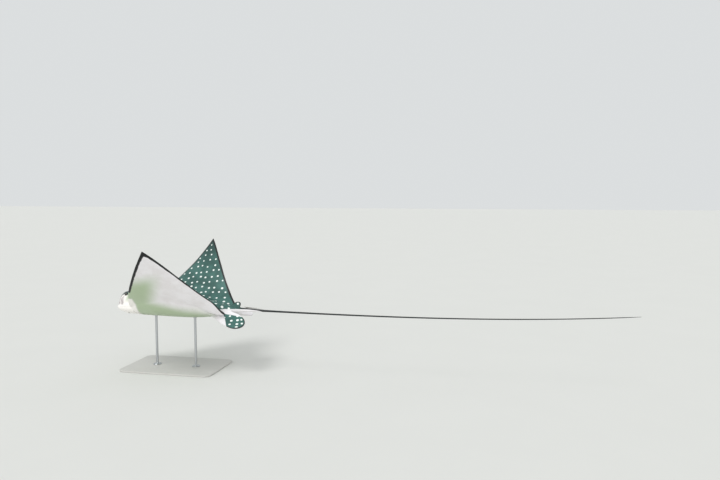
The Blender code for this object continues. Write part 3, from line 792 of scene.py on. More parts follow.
            self.mesh.sheet(grid)
        self.mesh.sheet(rim)
        blended = self.front_rows if shaped else rows
        self.joints += [root[:blended, 0], root[:blended, -1]]

    def add_on(self, points: Array, up: Array, side: Side, describe: Describe) -> Array:
        """Add points given for the right side to either side."""
        values = describe(points, up)
        values["above"] = up
        for name in ("chart_y", "under_y"):
            values[name] = values[name] * side.value
        return self.mesh.add(points * np.array((1, side.value, 1)), values)

    @staticmethod
    def margin_distance(points: Array, margin: Array, width: Array | None = None) -> Array:
        """Shortest distance from points to a margin, in metres or in shares of the width there."""
        flat = points.reshape(-1, 1, 3)[..., :2] if margin.shape[1] == 2 else points.reshape(-1, 1, 3)
        gap = np.linalg.norm(flat - margin[None], axis=2) * DISC_WIDTH
        if width is not None:
            gap = gap / width
        return gap.min(axis=1).reshape(points.shape[:-1])

    def build_wing(self, side: Side, stations: Array, numbers: Array) -> None:
        """Add a pectoral wing."""
        count = self.counts
        runs = self.runs(count.edge_rows)
        first = int(np.argmin(np.abs(stations - WING.origin[0])))
        rows = slice(first, first + len(runs))
        wall = np.arange(count.top, count.top + count.wall + 1)
        rings = self.rings(stations[rows])
        from_back, from_belly = self.girth(rings)
        root_b = rings[:, count.top, 1]
        more_top = from_back[:, count.top] - root_b
        more_under = from_belly[:, count.top + count.wall] - root_b
        lead_runs, traced = WING.traced
        band = self.band(lead_runs)
        margin = np.column_stack((WING.margin_at(runs), 0 * runs))

        def describe(points: Array, up: Array) -> dict[str, Array]:
            """What the finish reads on the wing."""
            row = slice(1, -1)
            a, b = points[..., 0], points[..., 1]
            distance = self.margin_distance(points, traced)
            size = smooth(distance, *self.wing_spots_from)
            size = size * (1 - self.wing_spots_shrink * smooth(b, 0.20, 0.47))
            rim = smooth(runs[row, None], *self.rim_dark)
            over = distance / np.maximum(self.rim_width * rim, 1e-4)
            under = self.margin_distance(points, traced, band)
            return {
                "chart_x": a, "chart_y": b + more_top[row, None], "under_y": b + more_under[row, None],
                "dark": UPWARD * (up + self.rim_reach[0] * rim - self.rim_reach[1] * (1 - rim)),
                "spots": size,
                "edge": np.where(up > 0, over, under) + self.rim_clear * (1 - rim),
                "region": Region.WING.value + 0 * a,
            }

        places = wall if side is Side.RIGHT else (count.around - (wall - count.top)) % count.around
        self.fan(numbers[rows][:, places], rings[:, wall], margin, WING.margin_half(runs), (0, 0, 1),
                 count.wing_columns, side, describe, True)

    def build_pelvic(self, side: Side, stations: Array, numbers: Array) -> None:
        """Add a pelvic fin: a short rounded paddle that droops from beside the vent."""
        own = self.pelvic_right if side is Side.RIGHT else self.pelvic_left
        rows, strip, along = self.fin_root(self.pelvic, stations, self.pelvic_strip(Side.RIGHT))
        droop = math.radians(own.droop)
        out = np.array((0, math.cos(droop), -math.sin(droop)))
        length = float(np.linalg.norm(along))
        along = along / length
        front, back = (np.array(curve) * (own.spread, 1) for curve in (self.pelvic.front, self.pelvic.back))
        flat = self.outline(front, (*back, (length, 0)), len(rows))
        origin = strip[0, strip.shape[1] // 2]
        margin = origin + flat[:, :1] * along + flat[:, 1:] * out
        lean = float(along @ out)
        square = 1 - lean ** 2
        chart_x, chart_y = self.pelvic_chart_at

        def describe(points: Array, up: Array) -> dict[str, Array]:
            """What the finish reads on the fin."""
            x, y = (points - origin) @ along, (points - origin) @ out
            aft, from_root = (x - lean * y) / square, (y - lean * x) / square
            distance = self.margin_distance(points, margin)
            shown = np.minimum(aft - self.pelvic_pale_front[0] - self.pelvic_pale_front[1] * from_root,
                               from_root - self.pelvic_pale_root[1] * aft + self.pelvic_pale_root[0])
            shown = np.minimum(shown, own.dark_to - aft)
            hidden = np.clip(-100 * shown, 0, 1) + (up < -0.2)
            return {
                "chart_x": chart_x + self.pelvic_chart * x,
                "chart_y": chart_y + self.pelvic_chart * (y - lean * x) / math.sqrt(square),
                "under_y": chart_y + from_root, "dark": np.minimum(shown * DISC_WIDTH, UPWARD * (up + 0.4)),
                "edge": distance / self.pelvic_edge + CLEAR * hidden,
                "spots": self.pelvic_spots * smooth(distance, *self.pelvic_spots_from),
                "region": own.region.value + 0 * distance,
            }

        self.fan(numbers[rows][:, self.pelvic_strip(side)], strip, margin, self.pelvic.half,
                 -np.cross(out, along), self.counts.pelvic_columns, side, describe)

    def build_dorsal(self, stations: Array, numbers: Array) -> None:
        """Add the one small fin on top of the tail's root."""
        fin, places = self.dorsal, self.dorsal_strip()
        rows, strip, along = self.fin_root(fin, stations, places)
        flat = self.outline(fin.front, (*fin.back, (along[0], along[2])), len(rows))
        origin = strip[0, strip.shape[1] // 2]
        margin = origin + np.column_stack((flat[:, 0], 0 * flat[:, 0], flat[:, 1]))

        def describe(points: Array, up: Array) -> dict[str, Array]:
            """What the finish reads on the fin."""
            height = points[..., 2] - origin[2]
            aft = points[..., 0] - origin[0]
            from_spot = np.hypot(aft - self.dorsal_spot[0], height - self.dorsal_spot[1])
            chart = self.dorsal_chart + height
            return {
                "chart_x": points[..., 0], "chart_y": chart, "under_y": chart, "dark": UPWARD + 0 * up,
                "edge": self.margin_distance(points, margin) / self.dorsal_edge,
                "spots": self.dorsal_spot_rise * (1 - from_spot / self.dorsal_spot_reach),
                "region": Region.DORSAL.value + 0 * up,
            }

        self.fan(numbers[rows][:, places], strip, margin, fin.half, (0, 1, 0), self.counts.dorsal_columns,
                 Side.RIGHT, describe)

    @staticmethod
    def outline(front: Sequence, back: Sequence, rows: int) -> Array:
        """Points of a fin's outline: half of the rows along its front, the others along its back."""
        half_way = (rows + 1) // 2
        first = bezier(front, np.linspace(0, 1, half_way))
        second = bezier(back, np.linspace(0, 1, rows - half_way + 1)[1:])
        return np.concatenate((first, second))


@dataclass(frozen=True)
class Groove:
    """A groove in the skin with a lip beside it. Lengths are in metres."""

    depth: float
    width: float
    lip: float
    lip_at: float
    lip_width: float

    def push(self, distance: Array) -> Array:
        """How far the skin is pushed out at a distance from the groove's bottom."""
        lip = self.lip * hump(distance - self.lip_at, self.lip_width)
        return lip - self.depth * hump(distance, self.width)


@dataclass(frozen=True)
class Relief:
    """Openings and folds of the skin. Depths and widths are in metres, places in disc widths."""

    mouth_station: float = 0.0835
    mouth_bow: float = 1.5
    mouth_half: float = 0.034
    mouth: Groove = Groove(0.0065, 0.0028, 0.0030, 0.0080, 0.0052)
    nostril: Pair = (0.0600, 0.0262)
    nostril_pit: Groove = Groove(0.0075, 0.0045, 0.0016, 0.0085, 0.0030)
    gill_first: Pair = (0.1440, 0.0700)
    gill_step: Pair = (0.0215, -0.0058)
    gill_half: float = 0.0115
    gill_slant: float = -0.30
    gill_count: int = 5
    gill: Groove = Groove(0.0050, 0.0026, 0.0022, -0.0066, 0.0046)
    spiracle: Pair = (0.1130, 0.0400)
    spiracle_size: Pair = (0.030, 0.0105)
    vent: Pair = (0.500, 0.520)
    vent_slit: Groove = Groove(0.0040, 0.0028, 0.0020, 0.0070, 0.0040)
    lobe_crease: float = 0.0042     # depth of the groove between forehead and snout lobe
    crease_above: float = 0.0065    # how far it runs above the head's side wall
    crease_width: float = 0.0065
    lid_reach: Pair = (0.0100, 0.0082)
    lid_rise: float = 0.0011
    lid_crease: float = 0.0007
    socket_depth: float = 0.006     # how far the skin goes down behind the lid
    crown_dip: float = 0.0018       # the hollow between the eyes
    swell: float = 0.00035          # height of the flesh's slow unevenness
    swell_lengths: tuple[float, ...] = (0.110, 0.075, 0.052, 0.034, 0.024)
    back_folds: tuple = ((0.098, 0.0014), (0.122, 0.0018), (0.150, 0.0012))  # distance out, depth
    fold_width: float = 0.0075

    def sockets(self, flat: Array) -> Array:
        """Part the skin round both eyes and raise a lid's edge over each ball.

        Args:
            flat: (n, 3) points of the flat animal.

        Returns:
            The moved points.
        """
        moved = flat.copy()
        for side in (-1, 1):
            axis, ahead, brow = EYE.frame(side)
            offset = moved - EYE.middle(side)
            height, x, y = offset @ axis, offset @ ahead, offset @ brow
            share = np.hypot(x / self.lid_reach[0], y / self.lid_reach[1])
            near = (share < 3.0) & (height > -0.010)
            edge = np.maximum(share, 1e-6)
            on_ball = np.sqrt(np.clip(EYE.radius ** 2 - (x / edge) ** 2 - (y / edge) ** 2, 0, None))
            lid = on_ball + self.lid_rise * (1 + 0.8 * np.clip(y / edge / self.lid_reach[1], 0, 1))
            rise = np.clip(lid - height, 0, None) * (1 - smooth(share, 1.0, 2.3))
            sink = np.clip(lid + 0.0008 - height, None, 0) * (1 - smooth(share, 1.0, 1.9))
            crease = -self.lid_crease * hump(share - 1.55, 0.13)
            outside = height + rise + sink + crease
            inside = on_ball - self.socket_depth
            opened = inside + (lid - inside) * smooth(share, 0.80, 1.0)
            target = np.where(share < 1.0, opened, outside)
            moved[near] += (target - height)[near, None] * axis
        return moved

    def lips(self, a: Array, b: Array) -> tuple[Array, Array]:
        """The mouth, its lips and the nostrils.

        Args:
            a: stations.
            b: distances out, without sign.

        Returns:
            How far the skin is pushed out, and how much of an opening it is.
        """
        d = (a - self.mouth_station - self.mouth_bow * b ** 2) * DISC_WIDTH
        ends = 1 - smooth(b, self.mouth_half - 0.004, self.mouth_half + 0.003)
        push = self.mouth.push(d) * ends
        corner_a = self.mouth_station + self.mouth_bow * self.mouth_half ** 2
        corner = np.hypot(a - corner_a, b - self.mouth_half) * DISC_WIDTH
        push = push - 0.0040 * hump(corner, 0.0050)
        nostril = np.hypot(a - self.nostril[0], (b - self.nostril[1]) * 0.7) * DISC_WIDTH
        push = push + self.nostril_pit.push(nostril)
        open_here = np.clip(hump(d, 0.0030) * ends + hump(nostril, 0.0045) + 0.6 * hump(corner, 0.004), 0, 1)
        return push, open_here

    def gills(self, a: Array, b: Array) -> tuple[Array, Array]:
        """The slits on each side of the throat, each under a low flap."""
        push, open_here = np.zeros_like(a), np.zeros_like(a)
        for number in range(self.gill_count):
            centre_a = self.gill_first[0] + number * self.gill_step[0]
            centre_b = self.gill_first[1] + number * self.gill_step[1]
            half = self.gill_half * (1 - 0.10 * number)
            out = b - centre_b
            bow = 0.10 * out ** 2 / half
            d = (a - centre_a - self.gill_slant * out - bow) * DISC_WIDTH
            ends = 1 - smooth(np.abs(out), 0.75 * half, 1.15 * half)
            push += self.gill.push(d) * ends
            open_here += hump(d - 0.0004, 0.0020) * ends
        return push, np.clip(open_here, 0, 1)

    def spiracles(self, a: Array, c: Array) -> tuple[Array, Array]:
        """The large breathing hole behind each eye."""
        along = a - self.spiracle[0]
        up = c - self.spiracle[1] + 0.25 * along
        share = np.hypot(along / (self.spiracle_size[0] / 2), up / (self.spiracle_size[1] / 2))
        push = -0.0120 * (1 - smooth(share, 0.35, 1.15)) + 0.0016 * hump(share - 1.35, 0.30)
        return push, 1 - smooth(share, 0.30, 0.95)

    def unevenness(self, flat: Array) -> Array:
        """Slow swells of flesh, from a few crossing waves."""
        total = np.zeros(len(flat))
        generator = np.random.default_rng(11)
        for length in self.swell_lengths:
            way = generator.normal(size=3)
            way /= np.linalg.norm(way)
            total += np.sin(flat @ way * 2 * math.pi / length + generator.uniform(0, 6.28)) * length
        return total / self.swell_lengths[0]

    def push(self, flat: Array, above: Array) -> tuple[Array, Array]:
        """Every fold and opening that is pushed in or out along the skin's own normals.

        Args:
            flat: (n, 3) points of the flat animal.
            above: 1 on upper faces, -1 on lower ones.

        Returns:
            The push in metres, and how much of an opening each point is.
        """
        a, b, c = flat[:, 0], np.abs(flat[:, 1]), flat[:, 2]
        under = above < -0.5
        push = self.swell * self.unevenness(flat) * smooth(b, 0.52, 0.35) * smooth(a, 0.9, 0.6)
        opening = np.zeros(len(flat))
        for where, (depth, hole) in (
            (under & (a < 0.125), self.lips(a, b)),
            (under & (a > 0.125) & (a < 0.27), self.gills(a, b)),
            ((a > 0.09) & (a < 0.14) & (c > 0.02) & (b < 0.10), self.spiracles(a, c)),
        ):
            push[where] += depth[where]
            opening[where] = np.maximum(opening[where], hole[where])
        vent_half = (self.vent[1] - self.vent[0]) / 2
        vent_share = np.abs(a - sum(self.vent) / 2) / vent_half
        ends = (1 - smooth(vent_share, 0.7, 1.2)) * under
        vent_gap = b * DISC_WIDTH
        push += self.vent_slit.push(vent_gap) * ends
        opening = np.maximum(opening, hump(vent_gap, 0.0026) * ends)
        groove = BODY.wall_line(a) + BODY.wall_half(a) + self.crease_above
        fade = smooth(a, 0.017, 0.026) * (1 - smooth(a, 0.062, 0.100)) * (above > 0.5)
        push -= self.lobe_crease * hump((c - groove) * DISC_WIDTH, self.crease_width) * fade
        crown = (1 - smooth(b, 0.008, 0.022)) * smooth(a, 0.045, 0.06) * (1 - smooth(a, 0.085, 0.11))
        push -= self.crown_dip * crown * (above > 0.5)
        folds = smooth(a, 0.18, 0.26) * (1 - smooth(a, 0.44, 0.52)) * (above > 0.5)
        for fold, depth in self.back_folds:
            line = fold - 0.9 * (a - 0.33) ** 2
            push -= depth * hump((b - line) * DISC_WIDTH, self.fold_width) * folds
        return push, opening


@dataclass(frozen=True)
class BakeLayout:
    """Where the skin's faces lie on its own flat map: back and belly side by side, the rest above."""

    scale: float = 0.64
    gap: float = 0.012
    disc_length: float = 0.70
    strip_length: float = 0.61
    strip_count: int = 3
    strip_width: float = 0.052
    fin_width: float = 0.235
    top_row: float = 0.672
    fin_row: float = 0.885

    def disc(self, a: Array, out: Array, above: Array) -> Array:
        """The island of the back (left) or of the belly (right)."""
        start = np.where(above, self.gap, 2 * self.gap + self.disc_length * self.scale)
        return np.column_stack((start + a * self.scale, self.top_row / 2 + out * self.scale))

    def tail(self, a: Array, out: Array, above: Array, middle: Array) -> Array:
        """The strips that the tail is cut into, upper and lower, chosen by each face's middle station."""
        number = np.clip((middle - BODY.tail_from) // self.strip_length, 0, self.strip_count - 1)
        row = number * 2 + np.where(above, 0.5, 1.5)
        u = self.gap + (a - BODY.tail_from - number * self.strip_length) * self.scale
        return np.column_stack((u, self.top_row + (row * self.strip_width + out) * self.scale))

    def fin(self, u: Array, v: Array, place: Array) -> Array:
        """The islands along the top, for the small fins' faces."""
        start = self.gap + place * self.fin_width * self.scale
        return np.column_stack((start + u * self.scale, self.fin_row + v * self.scale))


def add_object(name: str, mesh: Mesh, finish: Material) -> Object:
    """Link a finished mesh as a piece of the model.

    Args:
        name: the piece's name.
        mesh: its mesh, already in place.
        finish: its material.

    Returns:
        The piece, riding on the model.
    """
    mesh.materials.clear()
    mesh.materials.append(finish)
    mesh.shade_smooth()
    piece = bpy.data.objects.new(name, mesh)
    bpy.context.scene.collection.objects.link(piece)
    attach(piece, "root")
    LOG.info("%s: %d faces", name, len(mesh.polygons))
    return piece


def new_mesh(name: str, points: Array, faces: Sequence[Sequence[int]]) -> Mesh:
    """Make a mesh whose faces all point outwards."""
    mesh = bpy.data.meshes.new(name)
    mesh.from_pydata(np.asarray(points, float).tolist(), [], faces)
    shape = bmesh.new()
    shape.from_mesh(mesh)
    bmesh.ops.recalc_face_normals(shape, faces=shape.faces)
    shape.to_mesh(mesh)
    shape.free()
    return mesh


def ring_faces(rows: int, count: int, poles: bool = True) -> list[tuple[int, ...]]:
    """Faces between closed rings of points, and from the end rings to one point each.

    Args:
        rows: how many rings there are.
        count: points round each ring.
        poles: whether the ends are closed on two points that follow the rings.

    Returns:
        The faces.
    """
    around = [(k, (k + 1) % count) for k in range(count)]
    faces = [(low + k, low + after, low + count + after, low + count + k)
             for low in range(0, (rows - 1) * count, count) for k, after in around]
    if poles:
        last, pole = (rows - 1) * count, rows * count
        faces += [(k, after, pole) for k, after in around]
        faces += [(last + k, last + after, pole + 1) for k, after in around]
    return faces


def move_points(mesh: Mesh, points: Array) -> None:
    """Move a mesh's points to new places."""
    mesh.vertices.foreach_set("co", points.astype(np.float32).ravel())
    mesh.update()


def drop_loose(mesh: Mesh) -> None:
    """Drop the points that no face uses."""
    shape = bmesh.new()
    shape.from_mesh(mesh)
    loose = [point for point in shape.verts if not point.link_faces]
    bmesh.ops.delete(shape, geom=loose, context="VERTS")
    shape.to_mesh(mesh)
    shape.free()


def write_attribute(mesh: Mesh, name: str, values: Array) -> None:
    """Store one number or one vector at each point, for the finish to read."""
    kind, item = ("FLOAT_VECTOR", "vector") if values.ndim == 2 else ("FLOAT", "value")
    layer = mesh.attributes.new(name, kind, "POINT")
    layer.data.foreach_set(item, np.ascontiguousarray(values, np.float32).ravel())


def read_points(mesh: Mesh, what: str = "co") -> Array:
    """Read each point's place ("co") or normal ("normal")."""
    values = np.empty(len(mesh.vertices) * 3, np.float32)
    mesh.vertices.foreach_get(what, values)
    return values.reshape(-1, 3).astype(float)


def soften(points: Array, mesh: Mesh, weight: Array, rounds: int) -> Array:
    """Smooth the places where fins grow out of the body.

    Args:
        points: (n, 3) places.
        mesh: the mesh that joins them.
        weight: how far each point follows its neighbours.
        rounds: how often this is repeated.

    Returns:
        The smoothed places.
    """
    ends = np.empty(len(mesh.edges) * 2, np.int32)
    mesh.edges.foreach_get("vertices", ends)
    first, second = ends.reshape(-1, 2).T
    degree = np.bincount(np.concatenate((first, second)), minlength=len(points))[:, None]
    for _ in range(rounds):
        total = np.zeros_like(points)
        np.add.at(total, first, points[second])
        np.add.at(total, second, points[first])
        points = points + weight[:, None] * (total / np.maximum(degree, 1) - points)
    return points


@dataclass
class SkinPiece:
    """Turns the flat animal into the finished piece: folds, pose, values for the finish, and a flat map."""

    ray: RaySkin
    relief: Relief = field(default_factory=Relief)
    layout: BakeLayout = field(default_factory=BakeLayout)
    joint_reach: float = 0.016
    joint_weight: float = 0.55
    joint_rounds: int = 14
    nodes: tuple[str, ...] = (
        "head", "trunk", "pectoral_left", "pectoral_right", "pelvic_left", "pelvic_right", "dorsal_fin",
        "tail_1", "tail_2", "tail_3", "tail_4", "tail_5")

    def build(self, finish: Material) -> Object:
        """Build the skin and let it stand for the solids of flesh.

        Args:
            finish: the skin's material.

        Returns:
            The skin.
        """
        stations, numbers = self.ray.build_body()
        for side in Side:
            self.ray.build_wing(side, stations, numbers)
            self.ray.build_pelvic(side, stations, numbers)
        self.ray.build_dorsal(stations, numbers)
        flat = np.concatenate(self.ray.mesh.flat)
        values = {name: np.concatenate(parts) for name, parts in self.ray.mesh.values.items()}
        mesh = new_mesh("skin", POSE.place(self.relief.sockets(flat)), self.ray.mesh.faces)
        push, opening = self.relief.push(flat, values["above"])
        points = read_points(mesh)
        points = soften(points, mesh, self.joint_weights(points), self.joint_rounds)
        points += read_points(mesh, "normal") * push[:, None]
        move_points(mesh, points)
        write_attribute(mesh, "rest", flat * DISC_WIDTH)
        chart = np.column_stack((values["chart_x"], values["chart_y"], 0 * values["dark"]))
        write_attribute(mesh, "chart", chart * DISC_WIDTH)
        for name in ("dark", "edge", "spots"):
            write_attribute(mesh, name, values[name])
        write_attribute(mesh, "opening", opening)
        self.write_map(mesh, flat, values)
        drop_loose(mesh)
        skin = add_object("skin", mesh, finish)
        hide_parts(*self.nodes)
        return skin

    def joint_weights(self, points: Array) -> Array:
        """How far each point follows its neighbours: most at the roots of the small fins."""
        roots = points[np.unique(np.concatenate(self.ray.joints))]
        weight = np.zeros(len(points))
        low, high = roots.min(axis=0) - self.joint_reach, roots.max(axis=0) + self.joint_reach
        near = np.nonzero(((points > low) & (points < high)).all(axis=1))[0]
        for block in np.array_split(near, max(1, len(near) // 2000)):
            gap = np.linalg.norm(points[block, None] - roots[None], axis=2).min(axis=1)
            weight[block] = self.joint_weight * (1 - smooth(gap, 0.25 * self.joint_reach, self.joint_reach))
        return weight

    def write_map(self, mesh: Mesh, flat: Array, values: dict[str, Array]) -> None:
        """Lay every face out on the skin's own flat map.

        Args:
            mesh: the skin's mesh.
            flat: its points on the flat animal.
            values: what was stored at each point.
        """
        corner = np.empty(len(mesh.loops), np.int32)
        mesh.loops.foreach_get("vertex_index", corner)
        starts = np.empty(len(mesh.polygons), np.int32)
        sizes = np.empty(len(mesh.polygons), np.int32)
        mesh.polygons.foreach_get("loop_start", starts)
        mesh.polygons.foreach_get("loop_total", sizes)

        def mean(value: Array) -> Array:
            """Each face's mean, at each of its corners."""
            return np.repeat(np.add.reduceat(value[corner], starts) / sizes, sizes)

        a, b, c = flat[corner].T
        above = mean(values["above"]) > 0
        region = np.repeat(np.maximum.reduceat(values["region"][corner], starts), sizes)
        out = np.where(above, values["chart_y"][corner], values["under_y"][corner])
        middle = mean(flat[:, 0])
        places = self.layout.disc(a, out, above)
        is_tail = middle > BODY.tail_from
        places[is_tail] = self.layout.tail(a, out, above, middle)[is_tail]
        is_pelvic = (region == Region.PELVIC_LEFT.value) | (region == Region.PELVIC_RIGHT.value)
        place = 2 * (region == Region.PELVIC_RIGHT.value) + ~above
        from_root = np.hypot(np.abs(b) - WING.insertion[1], c + 0.02)
        pelvic = self.layout.fin(a - self.ray.pelvic.root[0], from_root, place)
        places[is_pelvic] = pelvic[is_pelvic]
        is_dorsal = region == Region.DORSAL.value
        dorsal = self.layout.fin(a - self.ray.dorsal.root[0], c, 4 + (mean(flat[:, 1]) > 0))
        places[is_dorsal] = dorsal[is_dorsal]
        layer = mesh.uv_layers.new(name="OFBake")
        layer.data.foreach_set("uv", places.astype(np.float32).ravel())


# ---- materials
def linear(code: str) -> tuple[float, float, float, float]:
    """Turn an sRGB hex colour such as "#486d67" into linear red, green, blue and alpha."""
    parts = [int(code[i:i + 2], 16) / 255 for i in (1, 3, 5)]
    return (*[p / 12.92 if p <= 0.04045 else ((p + 0.055) / 1.055) ** 2.4 for p in parts], 1.0)


# Words for the nodes that the finishes share: type, inputs in order and the value of those that a call
# leaves out, output, settings. A noise's scale is 1 over the size of its features in metres. A step is
# 0 at its first bound and 1 at its second, which may be the lower number.
NODE_WORDS = {
    "step": ("ShaderNodeMapRange", {"Value": None, "From Min": None, "From Max": None}, "Result",
             {"interpolation_type": "SMOOTHSTEP"}),
    "mix": ("ShaderNodeMix", {0: None, 6: None, 7: None}, 2, {"data_type": "RGBA"}),
    "noise": ("ShaderNodeTexNoise",
              {"Vector": None, "Scale": None, "Detail": None, "Roughness": 0.55}, "Fac", {}),
    "bump": ("ShaderNodeBump", {"Height": None, "Strength": None, "Distance": None, "Normal": None}, 0, {}),
    "scaled": ("ShaderNodeMapping", {"Vector": None, "Scale": None}, 0, {}),
}


class Nodes:
    """A node tree, and the one way in which nodes are added to it."""

    def __init__(self, tree: NodeTree) -> None:
        """Take the tree."""
        self.tree = tree

    def fill(self, made: Node, links: dict) -> None:
        """Link or set a node's inputs, by name or number.

        Args:
            made: the node.
            links: for each input a socket, a node whose first output is meant, a hex colour or a value.
        """
        for key, value in links.items():
            if isinstance(value, Node):
                value = value.outputs[0]
            if isinstance(value, NodeSocket):
                self.tree.links.new(value, made.inputs[key])
            else:
                is_colour = isinstance(value, str) and value.startswith("#")
                made.inputs[key].default_value = linear(value) if is_colour else value

    def node(self, kind: str, links: dict | None = None, **settings: object) -> Node:
        """Add a node with its settings and what goes into it.

        Args:
            kind: the node's type.
            links: what goes into its inputs.
            settings: its own properties.

        Returns:
            The node.
        """
        made = self.tree.nodes.new(kind)
        for name, value in settings.items():
            setattr(made, name, value)
        self.fill(made, links or {})
        return made

    def add(self, word: str, *values: object) -> NodeSocket:
        """Add a node by its word, or a Math node by its operation.

        Args:
            word: one of `NODE_WORDS`, or an operation.
            values: what goes into its inputs, in order.

        Returns:
            What it gives.
        """
        maths = ("ShaderNodeMath", dict(enumerate(values)), 0, {"operation": word})
        kind, inputs, output, settings = NODE_WORDS.get(word, maths)
        links = {**inputs, **dict(zip(inputs, values))}
        given = {key: value for key, value in links.items() if value is not None}
        return self.node(kind, given, **settings).outputs[output]


class FinishNodes(Nodes):
    """A material's nodes, which end in one Principled shader."""

    def __init__(self, name: str) -> None:
        """Make the material and its shader."""
        self.material = bpy.data.materials.new(name)
        self.material.use_nodes = True
        super().__init__(self.material.node_tree)
        self.tree.nodes.clear()
        self.shader = self.node("ShaderNodeBsdfPrincipled")
        self.node("ShaderNodeOutputMaterial", {"Surface": self.shader})

    def stored(self, *names: str, output: str = "Fac") -> list[NodeSocket]:
        """Values that are stored at the mesh's points."""
        return [self.node("ShaderNodeAttribute", attribute_name=name).outputs[output] for name in names]

    def dress(self, values: dict[str, object]) -> Material:
        """Give the shader its inputs and return the material."""
        self.fill(self.shader, values)
        return self.material


